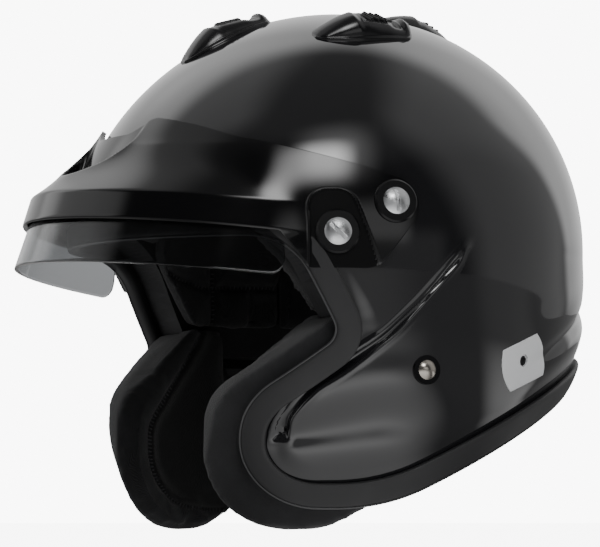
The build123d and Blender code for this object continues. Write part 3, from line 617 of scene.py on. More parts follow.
def swept(name, frames, profile, body, material, replaces=()):
    """A closed profile of (off, out) points carried along a closed line of frames."""
    point, normal, off = frames
    rings = (point[:, None] + off[:, None] * profile[None, :, :1] + normal[:, None] * profile[None, :, 1:])
    faces = grid_faces(len(point), len(profile), True, True)
    piece = mesh_piece(name, rings, faces, body, material, replaces)
    return tidy(piece)


def rounded_profile(points):
    """A closed profile with its corners rounded: each point has off, out and a radius."""
    out = []
    count = len(points)
    for k in range(count):
        before, here, after = (np.array(points[j % count][:2], float) for j in (k - 1, k, k + 1))
        radius = points[k][2]
        if radius <= 0:
            out.append(here[None])
            continue
        t = np.linspace(0, 1, 5)[:, None]
        p, q = here + unit(before - here) * radius, here + unit(after - here) * radius
        out.append((1 - t) ** 2 * p + 2 * t * (1 - t) * here + t * t * q)
    return np.concatenate(out)


def trim_pieces():
    """The rubber trim: a flat band with rounded edges over the shell, rolled round its edge, with a
    thin bead inside the roll."""
    frames = along_skin(*edge_loop())
    band = rounded_profile([
        (-13.0, -0.6, 0), (-13.0, 1.35, 0.7), (-11.6, 1.9, 0.8), (-6.0, 2.15, 2.0), (-1.6, 1.75, 1.2),
        (0.0, 0.2, 0.9), (0.0, -3.6, 1.2), (-1.8, -5.7, 1.4), (-8.0, -5.7, 0.5), (-8.0, -3.9, 0),
        (-2.6, -3.9, 0), (-2.6, -0.6, 0)])
    swept("edge_trim_rubber", frames, band, "helmet", trim_rubber, ("edge_trim",))
    # The bead's lighter colour paints a highlight along the roll.
    bead = rounded_profile([(-0.75, 1.25, 0.3), (-0.1, 1.5, 0.4), (0.3, 0.8, 0.4), (0.1, 0.0, 0.3),
                            (-0.6, 0.2, 0.3)])
    piece = swept("edge_trim_bead", frames, bead, "helmet", trim_bead_painted_highlight)


KEPT = kept_outline()
outer_skin()
trim_pieces()


# Peak and shade

TILT = math.radians(6.0)
STAND = 3.6
BAY_HALF, BAY_REACH, BAY_BACK, BAY_FLOOR = 29.5, 35.0, -112.0, 168.5
PEAK_WALL, PANEL_DEPTH, STRIP_WALL = 2.5, 1.4, 2.0
LEVEL_STEP = 0.3

# Half width, reach and root of the tilted ovals, and of the visor's level top
LIP, CREASE, VISOR_TOP = (118.5, 164.0, 136.3), (116.5, 159.5, 150.5), (105.0, 100.0, 209.0)
STRIP_FOOT, STRIP_TOP = (119.1, 168.6, 114.2), (114.36, 158.68, 143.0)

# Outlines in side view: corners with their radii
PEAK_EDGE = [(-200.0, 144.0 + 121.0 * math.tan(TILT), 0), (-79.0, 144.0, 3), (-66.3, 126.0, 3),
             (-33.9, 126.0, 12), (-3.9, 165.0, 14), (-30.0, 173.5, 60), (-92.0, 192.0, 40),
             (-112.2, 204.0, 0.01), (-200.0, 204.0, 0)]
PANEL_EDGE = [(-55.0, 110.0, 0), (-65.9, 110.0, 0.1), (-65.9, 164.5, 9), (-46.0, 164.5, 9),
              (-31.0, 118.0, 0.1), (-31.0, 110.0, 0)]


def tilted_oval(turn, half, reach, root):
    """Half oval on a plane that rises to the front at the peak's tilt, root high over the middle."""
    return np.stack([half * np.sin(turn), -reach * np.cos(turn) * math.cos(TILT),
                     root + reach * np.cos(turn) * math.sin(TILT)], -1)


def radius_table(bearings, levels):
    """Distance of the peak's outer face from the upright axis, by bearing and height: the larger of the
    visor's form and the skin's stand-off, eased into each other in front of the arms."""
    turn = np.linspace(-1.9, 1.9, 900)
    lip, crease = tilted_oval(turn, *LIP), tilted_oval(turn, *CREASE)
    half, reach, level = VISOR_TOP
    top = np.stack([half * np.sin(turn), -reach * np.cos(turn), np.full(len(turn), level)], -1)
    table = np.zeros((len(levels), len(bearings)))
    for k, z in enumerate(levels):
        over = np.clip((z - crease[:, 2]) / (top[:, 2] - crease[:, 2]), 0, None)[:, None]
        over = over + 0.04 * np.sin(math.pi * np.clip(over / 0.55, 0, 1))
        under = np.clip((crease[:, 2] - z) / (crease[:, 2] - lip[:, 2]), 0, 1.4)[:, None]
        bearing, away = polar(crease + (top - crease) * over + (lip - crease) * under)
        visor = np.interp(bearings, bearing, away - 1.2 * np.maximum(lip[:, 2] - z, 0))
        shell = np.interp(bearings, *polar(skin_at(turn, np.full(len(turn), z), STAND)))
        ease = 0.3 + 4.0 * smooth_step(-60.0, -86.0, -shell * np.cos(bearings))
        table[k] = (visor + shell + np.sqrt((visor - shell) ** 2 + ease**2)) / 2
        table[k] = np.where(shell - visor > 12, shell, table[k])
    return smoothed(table, 9)


def plate_height(x, y):
    """Height of the skin's stand-off over a point in plan, or far below where it has none."""
    a, b, rise = HALF + STAND, REACH + STAND, RISE + STAND
    lean = LEAN * rise
    room = 1 - (x / a) ** 2 - (y / b) ** 2
    p, q = 1 + (lean / b) ** 2, -2 * y * lean / b**2
    root = q * q + 4 * p * room
    share = (-q + np.sqrt(np.maximum(root, 0))) / (2 * p)
    return np.where((root > 0) & (share > 0), WIDEST + rise * share, -999.0)


def scoop_cut(point):
    """Sink the visor's top inside the rounded bay between the horns, down to its floor or the forehead
    plate. Outside the bay the surface flares up to the bay's edge, and the flare dies out at the horns."""
    x, y, z = point[..., 0], point[..., 1], point[..., 2]
    inside = BAY_HALF * (1 - np.hypot(x / BAY_HALF, np.maximum(BAY_BACK - y, 0) / BAY_REACH))
    floor = np.maximum(BAY_FLOOR, plate_height(x, y))
    share = smooth_step(-0.6, 3.0, inside) * (z > floor)
    sunk = point.copy()
    sunk[..., 2] = z - (z - floor) * share
    outside = (inside - np.sqrt(inside**2 + 1.0)) / 2
    sunk[..., 2] += 3.2 * np.exp(outside / 5.0) * (1 - share) * smooth_step(-114, -132, y)
    return sunk


def outward_normals(point):
    """Unit normals of a grid of points, from its slopes both ways, on the side away from the head."""
    normal = unit(np.cross(np.gradient(point, axis=1), np.gradient(point, axis=0)))
    return normal * np.sign(np.median((normal * (point - [0, 0, 150.0])).sum(-1)))


def level_spans(inside, levels):
    """Lowest and highest level at which each column is inside, found between the rows; nan for none."""
    low, high = np.full((2, inside.shape[1]), np.nan)
    for k, column in enumerate(inside.T):
        found = np.nonzero(column > 0)[0]
        if len(found) == 0:
            continue
        first, last = found[0], found[-1]
        low[k] = levels[first]
        if first:
            low[k] -= LEVEL_STEP * column[first] / (column[first] - column[first - 1])
        fall = column[last] - column[last + 1] if last + 1 < len(levels) else 1.0
        high[k] = levels[last] + LEVEL_STEP * column[last] / fall
    return low, high


def between(table, row, column):
    """Values of a table at places between its rows and columns."""
    row = np.clip(row, 0, table.shape[0] - 1.001)
    column = np.clip(column, 0, table.shape[1] - 1.001)
    r, c = row.astype(int), column.astype(int)
    down, over = row - r, column - c
    return ((table[r, c] * (1 - over) + table[r, c + 1] * over) * (1 - down)
            + (table[r + 1, c] * (1 - over) + table[r + 1, c + 1] * over) * down)


def peak_grid():
    """Points of the peak's outer face: columns by bearing, rows from the lower outline by the crease to
    the upper outline."""
    levels = np.arange(118.0, 212.0, LEVEL_STEP)
    scan = np.linspace(0, 1.62, 700)
    table = radius_table(scan, levels)
    bearing, level = np.meshgrid(scan, levels)
    inside = side_distance(-table * np.cos(bearing), level, rounded_path(PEAK_EDGE, 1.0))
    tip = scan[np.nonzero((inside > 0).any(0))[0][-1]]
    near = tip - 14.0 / GIRTH
    ease = near + (tip - near) * np.sin(np.linspace(0, math.pi / 2, 18))
    front = spaced(0, near, [(0, 0.3), (0.95, near)], 0.85 / 140, 1.8 / 140)
    bearings = np.concatenate([front[:-1], ease])
    bearings = np.concatenate([-bearings[:0:-1], bearings])
    size = np.abs(bearings)
    low, high = level_spans(inside, levels)
    good = ~np.isnan(low)
    low, high = np.interp(size, scan[good], low[good]), np.interp(size, scan[good], high[good])

    def radius(z):
        step = scan[1] - scan[0]
        return between(table, (z - levels[0]) / LEVEL_STEP, np.broadcast_to(size, z.shape) / step)

    across = radius(high) * np.sin(size)
    high = np.where(across < 36.0, np.minimum(high, 198.0 + 6.0 * smooth_step(15.0, 35.0, across)), high)
    crease = np.full(len(size), 160.0)
    for _ in range(8):
        crease = CREASE[2] + radius(crease) * np.cos(size) * math.tan(TILT)
    crease = np.clip(crease, low + 0.25 * (high - low) * (size > 1.0), high - 0.2 * (high - low))
    lower = np.linspace(0, 1, 24)[:, None] ** 0.9
    upper = np.linspace(0, 1, 90)[1:, None]
    z = np.concatenate([low + (crease - low) * lower, crease + (high - crease) * upper])
    r = radius(z)
    return scoop_cut(np.stack([r * np.sin(bearings), -r * np.cos(bearings), z], -1))


def arm_recess(point):
    """How far the panel on each arm is sunk, from 0 to 1, by its place in side view."""
    near = (np.abs(point[..., 0]) > 80) & (point[..., 1] > -75) & (point[..., 2] < 170)
    inside = side_distance(point[..., 1][near], point[..., 2][near], rounded_path(PANEL_EDGE, 1.0))
    sunk = np.zeros(point.shape[:2])
    sunk[near] = smooth_step(-0.7, 0.7, inside)
    return sunk


def mark_recess(mesh):
    """Give the faces whose corners are all sunk the recess material, darker and duller: painted shade in the
    recess.
    """
    depth = np.zeros(len(mesh.vertices))
    mesh.attributes["sunk"].data.foreach_get("value", depth)
    corner = np.zeros(len(mesh.loops), int)
    mesh.loops.foreach_get("vertex_index", corner)
    start = np.zeros(len(mesh.polygons), int)
    mesh.polygons.foreach_get("loop_start", start)
    least = np.minimum.reduceat(depth[corner], start)
    mesh.polygons.foreach_set("material_index", np.where(least > 0.12, 2, 0))


def peak_piece():
    """The peak as one moulded wall: outer face, inner face and its rounded rim."""
    point = peak_grid()
    normal = outward_normals(point)
    sunk = arm_recess(point)
    outer = point - normal * PANEL_DEPTH * sunk[..., None]
    inner = point - normal * PEAK_WALL
    bearing, reach = polar(inner)
    least = skin_radius(bearing, inner[..., 2], 0.35)
    inner[..., :2] *= np.maximum(least / np.maximum(reach, 1e-6), 1)[..., None]
    peak = thick_sheet("peak_moulding", outer, inner, "helmet", peak_plastic, ("peak",))
    depth = peak.data.attributes.new("sunk", "FLOAT", "POINT")
    depth.data.foreach_set("value", np.concatenate([sunk.ravel(), 0 * sunk.ravel()]))
    peak.data.materials.append(peak_rim_painted_highlight)
    peak.data.materials.append(peak_recess_painted_shade)
    tidy(peak)
    mark_recess(peak.data)
    # The rim's rounded faces take slot 1, the lighter grey that paints a highlight along the rim.
    round_edges(peak, 0.6, 62.0, 1)


def shade_piece():
    """The smoked strip: ruled between a low and a top oval, with its lower corners rounded."""
    share = np.linspace(0, 1, 22)[:, None]
    line = np.linspace(-1, 1, 260)[None, :]
    across = 0.35 * np.sin(line * math.pi / 2) + 0.65 * line
    corner, height, half_run = 9.0, 27.5, 176.0
    short = corner - np.minimum((1 - np.abs(across)) * half_run, corner)
    lift = (corner - np.sqrt(corner**2 - short**2)) / height
    share = lift + (1 - lift) * share
    reach = STRIP_FOOT[1] + (STRIP_TOP[1] - STRIP_FOOT[1]) * share
    turn = across * np.arccos(76.0 / (reach * math.cos(TILT)))
    foot, top = tilted_oval(turn, *STRIP_FOOT), tilted_oval(turn, *STRIP_TOP)
    outer = foot + (top - foot) * share[..., None]
    inner = outer - outward_normals(outer) * STRIP_WALL
    shade = thick_sheet("peak_shade_strip", outer, inner, "helmet", smoke, ("peak_shade",))
    tidy(shade)
    round_edges(shade, 0.4)


peak_piece()
shade_piece()


# Roof vents and their sliders

# Each vent's seat on the skin: its middle, the way along it and the way off it
VENT_SEATS = {
    "front": ((0.0, -60.0, 250.782), (0.0, 0.89303, 0.44999), (0.0, -0.44999, 0.89303)),
    "left": ((56.0, -9.0, 251.611), (0.04771, 0.99503, 0.08744), (0.47657, -0.09961, 0.87348)),
    "right": ((-56.0, -9.0, 251.611), (-0.04771, 0.99503, 0.08744), (-0.47657, -0.09961, 0.87348)),
    "rear": ((0.0, 52.0, 258.866), (0.0, 0.95301, -0.30294), (0.0, 0.30294, 0.95301)),
}
VENT_LENGTH, VENT_HALF, VENT_SOLE = 54.0, 13.0, 1.6
SLIDER_PLACE, SLIDER_LEVEL, SLIDER_TILT = 5.5, 5.8, math.radians(11.0)
SLIDER_HALF_LENGTH, SLIDER_HALF_WIDTH, RIB_PLACES = 7.0, 5.5, (-5.2, -1.8, 1.6, 5.0)


def on_seat(seat, along, across, up):
    """Points given along, across and off a seat, as points of the helmet."""
    origin, x, z = (np.array(v) for v in seat)
    y = np.cross(z, x)
    return origin + along[..., None] * x + across[..., None] * y + up[..., None] * z


def vent_height(a, share, b):
    """Height of a vent over the skin, by its place along, its share across and its distance across: a low
    skirt, a nose that swells to a sharp crest, a back dished behind the crest, and a raised round tail."""
    skirt, highest = 1.4, 9.0
    s = a / VENT_LENGTH
    crest = -0.13 + 0.05 * share**2
    run = np.clip((s + 0.5) / (crest + 0.5), 0, 1)
    rise = skirt + (highest - skirt) * (0.6 * run + 0.4 * np.sin(run * math.pi / 2))
    fall = 1 - smooth_step(0.0, 0.06, s - crest)
    back = 8.1 - 3.4 * np.clip(s / 0.5, 0, 1) + 1.2 * hump(s, 0.42, 0.045)
    top = np.where(s < crest, rise, back + (highest - back) * fall)
    body = np.maximum(1 - (np.abs(share) / 0.86) ** 2.6, 0) ** 0.72
    ends = smooth_step(-0.5, -0.44, s) * smooth_step(0.5, 0.455, s)
    edge = smooth_step(1.0, 0.955, np.abs(share))
    rim = skirt * edge * smooth_step(-0.5, -0.485, s) * smooth_step(0.5, 0.485, s)
    dish = 1.3 * smooth_step(9.5, 4.0, np.abs(b)) * smooth_step(0.2, 0.3, s) * smooth_step(0.42, 0.37, s)
    return rim + (top - skirt) * body * ends - dish * ends


def vent_pieces():
    """The four teardrop vents, each with a recess whose floor follows its slider's run."""
    turn = np.linspace(-math.pi / 2, math.pi / 2, 170)
    a = (VENT_LENGTH / 2 * (0.55 * np.sin(turn) + 0.45 * turn / (math.pi / 2)))[:, None]
    share = np.linspace(-1, 1, 101)[None, :]
    s = a / VENT_LENGTH
    stations = [-0.5, -0.4, -0.24, -0.1, 0.06, 0.24, 0.4, 0.5]
    width = smoothed(np.interp(s, stations, [0.42, 0.62, 0.88, 1, 1, 0.92, 0.8, 0.66]), 21)
    blunt = np.sqrt(np.maximum(1 - (np.maximum(np.abs(s) - 0.40, 0) / 0.1) ** 2, 0))
    b = VENT_HALF * width * blunt * share
    base = -(a**2 + b**2) / 250
    up = base + vent_height(a, share, b)
    floor = SLIDER_LEVEL - (a - SLIDER_PLACE) * math.tan(SLIDER_TILT) - 1.6
    inside = smooth_step(5.95, 5.65, np.abs(b)) * smooth_step(-2.1, -1.8, a) * smooth_step(19.1, 18.8, a)
    up = np.where(up > floor, up + (floor - up) * inside, up)
    for place, seat in VENT_SEATS.items():
        outer, inner = (on_seat(seat, a + 0 * b, b, height) for height in (up, base - VENT_SOLE))
        tidy(thick_sheet(f"roof_vent_{place}", outer, inner, "helmet", vent_plastic, (f"vent_{place}",)))


def slider_pieces():
    """Thumb sliders with four slanted ribs; the ribs lean back towards the helmet's outer side."""
    length, width = SLIDER_HALF_LENGTH, SLIDER_HALF_WIDTH
    a, b = np.meshgrid(np.linspace(-length, length, 141), np.linspace(-width, width, 111), indexing="ij")
    room = np.minimum(length - np.abs(a), width - np.abs(b))
    for place, (origin, x, z) in VENT_SEATS.items():
        x, z = np.array(x), np.array(z)
        start = np.array(origin) + SLIDER_PLACE * x + SLIDER_LEVEL * z
        lean_x = math.cos(SLIDER_TILT) * x - math.sin(SLIDER_TILT) * z
        lean_z = math.cos(SLIDER_TILT) * z + math.sin(SLIDER_TILT) * x
        hand = -1 if place == "right" else 1
        line = a + 0.5 * hand * b
        ribs = sum(hump(line, at, 0.62, 4) for at in RIB_PLACES)
        up = 0.3 - 0.5 * (1 - smooth_step(0, 0.7, room)) + 1.7 * ribs * smooth_step(0.1, 1.3, room)
        outer, inner = (on_seat((start, lean_x, lean_z), a, b, height) for height in (up, 0 * a - 1.3))
        tidy(thick_sheet(f"vent_thumb_{place}", outer, inner, f"slider_{place}", vent_plastic,
                         (f"vent_slider_{place}",)))


# Bare plates over the anchor terminals

def anchor_plates():
    """Thin barrel-shaped plates that lie on the shell round the terminals: straight above and below, with
    bowed ends and a round hole in the middle."""
    v = np.linspace(-11.9, 9.9, 90)[:, None]
    share = np.linspace(-1, 1, 120)[None, :]
    u = (12.6 + 3.2 * (1 - ((v + 1.0) / 10.9) ** 2)) * share + 0.5 + 0 * v
    v = v + 0 * u
    y, z = ANCHOR[0] + u * 0.931 - v * 0.365, ANCHOR[1] + u * 0.365 + v * 0.931
    turn = turn_of(y, z)
    form, _ = shell_form(turn, z)
    normal, point = normal_at(turn, z), skin_at(turn, z)
    keep = np.linalg.norm(point - side_at(*ANCHOR), axis=-1) > 3.2
    edge = np.minimum(10.9 - np.abs(v + 1.0), (1 - np.abs(share)) * 14)
    outer = point + normal * (form + 0.15 + 0.3 * smooth_step(-0.1, 0.5, edge))[..., None]
    inner = point + normal * (form - 0.3)[..., None]
    for side, hand in (("left", 1), ("right", -1)):
        flip = np.array([hand, 1, 1])
        piece = thick_sheet(f"anchor_plate_{side}", outer * flip, inner * flip, "helmet", plate_grey,
                            keep=keep)
        tidy(piece, 0.000005)


vent_pieces()
slider_pieces()
anchor_plates()


# Cushions: soft forms over the pads' solids

CHEEK_SEAM = [(-38.0, 104.0, 0), (-76.0, 54.0, 22), (-76.0, 13.0, 30), (-19.0, 9.0, 0)]
TEMPLE_SEAMS = [
    [(-66.0, 136.0), (-52.0, 131.5), (-35.0, 127.5), (-22.0, 128.5), (14.0, 129.0)],
    [(-29.0, 138.0), (-29.0, 98.0)],
    [(-5.0, 129.0), (-5.0, 98.0)],
]


def points_of(mesh):
    """A mesh's points as an array of rows, in metres."""
    flat = np.empty(len(mesh.vertices) * 3)
    mesh.vertices.foreach_get("co", flat)
    return flat.reshape(-1, 3)


def normals_of(mesh):
    """A mesh's point normals as an array of rows."""
    flat = np.empty(len(mesh.vertices) * 3)
    mesh.vertex_normals.foreach_get("vector", flat)
    return flat.reshape(-1, 3)


def settle(piece):
    """Make the piece's mesh what its modifiers show, and clear them."""
    graph = bpy.context.evaluated_depsgraph_get()
    mesh = bpy.data.meshes.new_from_object(piece.evaluated_get(graph))
    piece.modifiers.clear()
    piece.data = mesh
    mesh.name = piece.name


def even_copy(node, name, voxel):
    """A copy of a node's solid with an even skin of small quads."""
    piece = bpy.data.objects.new(name, nodes[node].data.copy())
    bpy.context.scene.collection.objects.link(piece)
    tidy(piece, 0.000004)
    even = piece.modifiers.new("even", "REMESH")
    even.mode = "VOXEL"
    even.voxel_size = voxel * MM
    calm = piece.modifiers.new("calm", "SMOOTH")
    calm.factor = 0.5
    calm.iterations = 3
    settle(piece)
    return piece


def depth_in_skin(points):
    """How far points lie inside the outer skin, measured level from the upright axis, in millimetres."""
    bearing, away = polar(points)
    level = np.minimum(points[:, 2], WIDEST + RISE - 1)
    return skin_radius(bearing, level, ahead=points[:, 1] < ring_at(level)[3]) - away


def filled(pieces, force, most):
    """Blow the cushions up together as cloth, held where they lie on the liner or the plates, and keep
    each point within its most travel of where it began."""
    starts = []
    for piece, held in pieces:
        group = piece.vertex_groups.new(name="held")
        group.add([int(i) for i in np.nonzero(held)[0]], 1.0, "REPLACE")
        cloth = piece.modifiers.new("filling", "CLOTH")
        for key, value in {"quality": 4, "mass": 0.3, "tension_stiffness": 25, "compression_stiffness": 25,
                           "shear_stiffness": 12, "bending_stiffness": 3, "use_pressure": True,
                           "uniform_pressure_force": force, "vertex_group_mass": "held"}.items():
            setattr(cloth.settings, key, value)
        cloth.settings.effector_weights.gravity = 0
        cloth.collision_settings.use_collision = False
        cloth.point_cache.frame_start = 1
        cloth.point_cache.frame_end = 20
        starts.append(points_of(piece.data))
    scene = bpy.context.scene
    for count in range(1, 21):
        scene.frame_set(count)
    for (piece, _), start in zip(pieces, starts):
        settle(piece)
        moved = points_of(piece.data) - start
        travel = np.linalg.norm(moved, axis=1, keepdims=True)
        moved *= np.minimum(1, most * MM / np.maximum(travel, 1e-9))
        piece.data.vertices.foreach_set("co", (start + moved).ravel())
    scene.frame_set(1)


def behind_seam(p):
    """How far points lie behind the cheek cushion's seam in side view; less than 0 on the roll before it."""
    loop = np.concatenate([rounded_path(CHEEK_SEAM, 2.0), [[60.0, 9.0], [60.0, 160.0], [-38.0, 160.0]]])
    return side_distance(p[:, 1], p[:, 2], loop)


def cheek_quilting(p):
    """A padded roll along the front and foot of a cheek cushion, a deep seam, and the hollow behind it."""
    q = behind_seam(p)
    roll = 1.9 * hump(q, -9.0, 6.5) + 0.5 * hump(q, -9.5, 1.3) * smooth_step(75, 50, p[:, 2])
    return roll - 2.4 * hump(q, 0, 1.5) - 2.6 * smooth_step(0, 9, q)


def temple_quilting(p):
    """Lobes between sewn lines, and two rounded lobes hanging below them with a notch between."""
    away = np.min([line_distance(p[:, 1], p[:, 2], line) for line in TEMPLE_SEAMS], axis=0)
    height = 2.2 * (1 - hump(away, 0, 8.0)) - 3.0 * hump(away, 0, 2.0)
    hang = (np.minimum(p[:, 2] - 118.0, 0) / 13.0) ** 4
    past_lobes = np.min([((p[:, 1] - y) / 12.5) ** 4 + hang for y in (-41.5, -17.0)], axis=0)
    return height - 3.5 * smooth_step(0.7, 2.2, past_lobes) * smooth_step(128.0, 120.0, p[:, 2])


def gores(count, shift=0.0):
    """Quilting along evenly spaced upright planes through the helmet's axis."""
    def form(p):
        turn = np.arctan2(p[:, 0], p[:, 1]) + shift
        pitch = 2 * math.pi / count
        away = np.abs((turn + pitch / 2) % pitch - pitch / 2) * np.hypot(p[:, 0], p[:, 1])
        return 1.2 * (1 - hump(away, 0, 8.0)) - 2.0 * hump(away, 0, 2.2)
    return form


def finish_cushion(piece, node, material, quilting):
    """Quilt the cushion's inner side, round it once more and let it stand for its node."""
    round_off = piece.modifiers.new("round_off", "SUBSURF")
    round_off.levels = 1
    round_off.subdivision_type = "CATMULL_CLARK"
    settle(piece)
    mesh = piece.data
    p, n = points_of(mesh) / MM, normals_of(mesh)
    facing = smooth_step(0.0, 0.5, (n * unit([0.0, 10.0, 110.0] - p)).sum(1))
    p += n * (quilting(p) * facing)[:, None]
    mesh.vertices.foreach_set("co", (p * MM).ravel())
    mesh.update()
    if quilting is cheek_quilting:
        # Mark the cheek cushion behind its seam, where its fabric is painted darker as shade.
        shade_mark = mesh.attributes.new("behind_seam", "FLOAT", "POINT")
        shade_mark.data.foreach_set("value", smooth_step(0.6, 1.6, behind_seam(p)))
    mesh.materials.clear()
    mesh.materials.append(material)
    mesh.shade_smooth()
    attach(piece, "helmet")
    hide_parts(node)


def on_cushion(piece, y, z, side):
    """Where level rays from the helmet's middle meet a cushion, with the normals there."""
    graph = bpy.context.evaluated_depsgraph_get()
    from_tree = BVHTree.FromObject(piece, graph)
    found = [from_tree.ray_cast(Vector((0, b * MM, c * MM)), Vector((side, 0, 0))) for b, c in zip(y, z)]
    good = [hit for hit in found if hit[0] is not None]
    return np.array([hit[0] for hit in good]) / MM, np.array([hit[1] for hit in good])


def stitches(name, point, across, normal, length, thick):
    """Short rounded threads, each bowed over the surface: rings of six points along a low arc."""
    s = np.linspace(-1, 1, 7)
    spin = np.linspace(0, 2 * math.pi, 7)[:-1]
    side = np.cross(across, normal)
    size = thick / 2 * np.sqrt(np.maximum(1 - s**4, 0.02))
    lift = thick * 0.45 * (1 - s**2) - thick * 0.1
    middle = (point[:, None] + across[:, None] * (s * length / 2)[None, :, None]
              + normal[:, None] * lift[None, :, None])
    ring = (middle[:, :, None] + side[:, None, None] * (size[:, None] * np.cos(spin))[None, :, :, None]
            + normal[:, None, None] * (size[:, None] * np.sin(spin))[None, :, :, None])
    one = grid_faces(7, 6, close_columns=True)
    starts = np.arange(len(point)) * 42
    quads = (one[None] + starts[:, None, None]).reshape(-1, 4)
    caps = np.array([[5, 4, 3, 2, 1, 0], [36, 37, 38, 39, 40, 41]])
    ends = (caps[None] + starts[:, None, None]).reshape(-1, 6)
    piece = mesh_piece(name, ring, [*quads.tolist(), *ends.tolist()], "helmet", thread)
    tidy(piece, 0.0000005)


def seam_stitches(name, piece, line, side, pitch, length, thick, slant=0.0):
    """Threads across a cushion's seam, evenly spaced along it."""
    line = np.asarray(line, float)
    run = np.concatenate([[0], np.cumsum(np.linalg.norm(np.diff(line, axis=0), axis=1))])
    at = np.arange(pitch, run[-1] - pitch, pitch)
    y, z = np.interp(at, run, line[:, 0]), np.interp(at, run, line[:, 1])
    point, normal = on_cushion(piece, y, z, side)
    along = unit(np.gradient(point, axis=0))
    across = np.cross(normal, along) + slant * along
    across = unit(across - normal * (across * normal).sum(1, keepdims=True))
    stitches(name, point, across, normal, length, thick)


# Each pad's cushion: name, size of its quads, material, quilting, fill and how deep it is held
CUSHIONS = {
    "cheek_pad_left": ("cheek_cushion_left", 2.5, jersey, cheek_quilting, 0.8, 8.0),
    "cheek_pad_right": ("cheek_cushion_right", 2.5, jersey, cheek_quilting, 0.8, 8.0),
    "temple_pad_left": ("temple_cushion_left", 2.6, lining, temple_quilting, 0.7, 36.0),
    "temple_pad_right": ("temple_cushion_right", 2.6, lining, temple_quilting, 0.7, 36.0),
    "brow_pad": ("brow_cushion", 3.0, lining, gores(14), 0.7, 36.0),
    "rear_pad": ("rear_cushion", 3.6, lining, gores(14), 0.7, 36.0),
    "crown_pad": ("crown_cushion", 4.0, lining, gores(8), 0.6, 36.0),
    "neck_roll": ("neck_cushion", 3.4, lining, gores(16, 0.2), 0.8, 8.0),
}


def cushions():
    """All the pads: even copies, filled together, quilted and sewn."""
    pieces, held = {}, []
    for node, (name, voxel, _, _, _, hold) in CUSHIONS.items():
        pieces[node] = even_copy(node, name, voxel)
        p = points_of(pieces[node].data) / MM
        held.append((depth_in_skin(p) < hold) & (side_distance(p[:, 1], p[:, 2], KEPT) >= 0.5))
    filled(list(zip(pieces.values(), held)), 4.0, 2.6)
    for node, (_, _, material, quilting, fill, _) in CUSHIONS.items():
        finish_cushion(pieces[node], node, material, quilting)
    seam = rounded_path(CHEEK_SEAM, 1.0)
    for side, hand in (("left", 1), ("right", -1)):
        cheek, temple = pieces[f"cheek_pad_{side}"], pieces[f"temple_pad_{side}"]
        seam_stitches(f"cheek_seam_{side}", cheek, seam, hand, 2.0, 3.4, 0.7, 0.25)
        for number, line in enumerate(TEMPLE_SEAMS[:2]):
            seam_stitches(f"temple_seam_{number}_{side}", temple, line, hand, 2.4, 2.6, 0.6)


# Chin strap

def band(name, corners, width, thick, node):
    """Flat webbing along a route in front view: a rounded section carried along it, with raised edges."""
    path = rounded_path(corners, 0.8)
    run = unit(np.gradient(path, axis=0))
    half_ring, strap_line, relief = 25, -5.5, 0.08
    across = np.linspace(-1, 1, half_ring)
    across = np.concatenate([across, across[::-1]])
    edge = np.sqrt(np.maximum(1 - np.abs(across) ** 8, 0))
    side = np.repeat([1, -1], half_ring)
    off = side * (thick / 2 * edge - relief + relief * np.cos(across * math.pi * 9) * edge)
    x = path[:, :1] - run[:, 1:] * off
    z = path[:, 1:] + run[:, :1] * off
    y = np.broadcast_to(strap_line + across * width / 2, x.shape)
    ring, count = 2 * half_ring, len(path)
    quads = grid_faces(count, ring, close_columns=True)
    caps = [list(range(ring))[::-1], list(range((count - 1) * ring, count * ring))]
    tidy(mesh_piece(name, np.stack([x, y, z], -1), [*quads.tolist(), *caps], "chin_strap", webbing, (node,)),
         0.000002)


def chin_straps():
    """The left webbing, looped on the rings' bars, and the right one, folded back through them."""
    side = [(104.2, 47.0, 0), (104.2, 57.5, 1.85), (100.2, 57.5, 1.85), (100.2, 47.0, 14), (91.0, 35.0, 14),
            (72.0, 25.0, 14)]
    left = [*side, (39.8, 25.0, 4.2), (39.8, 16.3, 4.2), (63.8, 16.3, 0)]
    right = [(-x, z, r) for x, z, r in side]
    right += [(36.4, 25.0, 4.2), (36.4, 16.3, 4.2), (22.4, 16.3, 10), (12.4, 22.9, 10), (-15.6, 22.9, 0)]
    band("strap_webbing_left", left, 19.8, 1.7, "chin_strap_left")
    band("strap_webbing_right", right, 19.8, 1.7, "chin_strap_right")


cushions()
chin_straps()


# CAD nodes that keep their shape

BODIES = frame["record"]["behaviour"]["bodies"]
BODY_OF = {node: body for body, members in BODIES.items() for node in members}
FINISHES = {
    "impact_liner": liner_foam, "peak_washers": washer_plastic, "peak_nuts": steel,
    "rivet_rings": washer_plastic, "strap_rings": chrome, "strap_snap": steel,
}
for side in ("left", "right"):
    FINISHES["cheek_plate_" + side] = plate_plastic
    FINISHES["peak_screw_front_" + side] = screw_metal
    FINISHES["peak_screw_rear_" + side] = screw_metal
    FINISHES["anchor_terminal_" + side] = steel
    FINISHES["strap_rivet_" + side] = rivet_metal
    FINISHES["strap_hanger_" + side] = dark_steel


def shown_copy(node, material):
    """A merged copy of a node with smooth faces between its sharp edges; it stands for the node."""
    mesh = nodes[node].data.copy()
    piece = bpy.data.objects.new(node + "_shown", mesh)
    bpy.context.scene.collection.objects.link(piece)
    tidy(piece, 0.000004)
    mesh.materials.clear()
    mesh.materials.append(material)
    mesh.shade_smooth()
    mesh.set_sharp_from_angle(angle=math.radians(30.0))
    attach(piece, BODY_OF[node])
    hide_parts(node)


for node, finish in FINISHES.items():
    shown_copy(node, finish)


# Stage, light and camera

ROOM_LIGHT, BACKDROP_LIGHT, FLOOR_GLOW = 0.05, 9.0, 7.5
FLOOR_LEAST, FLOOR_ALBEDO, FLOOR_REACH, FLOOR_GAP = 0.04, 0.2, 14.0, 0.0005

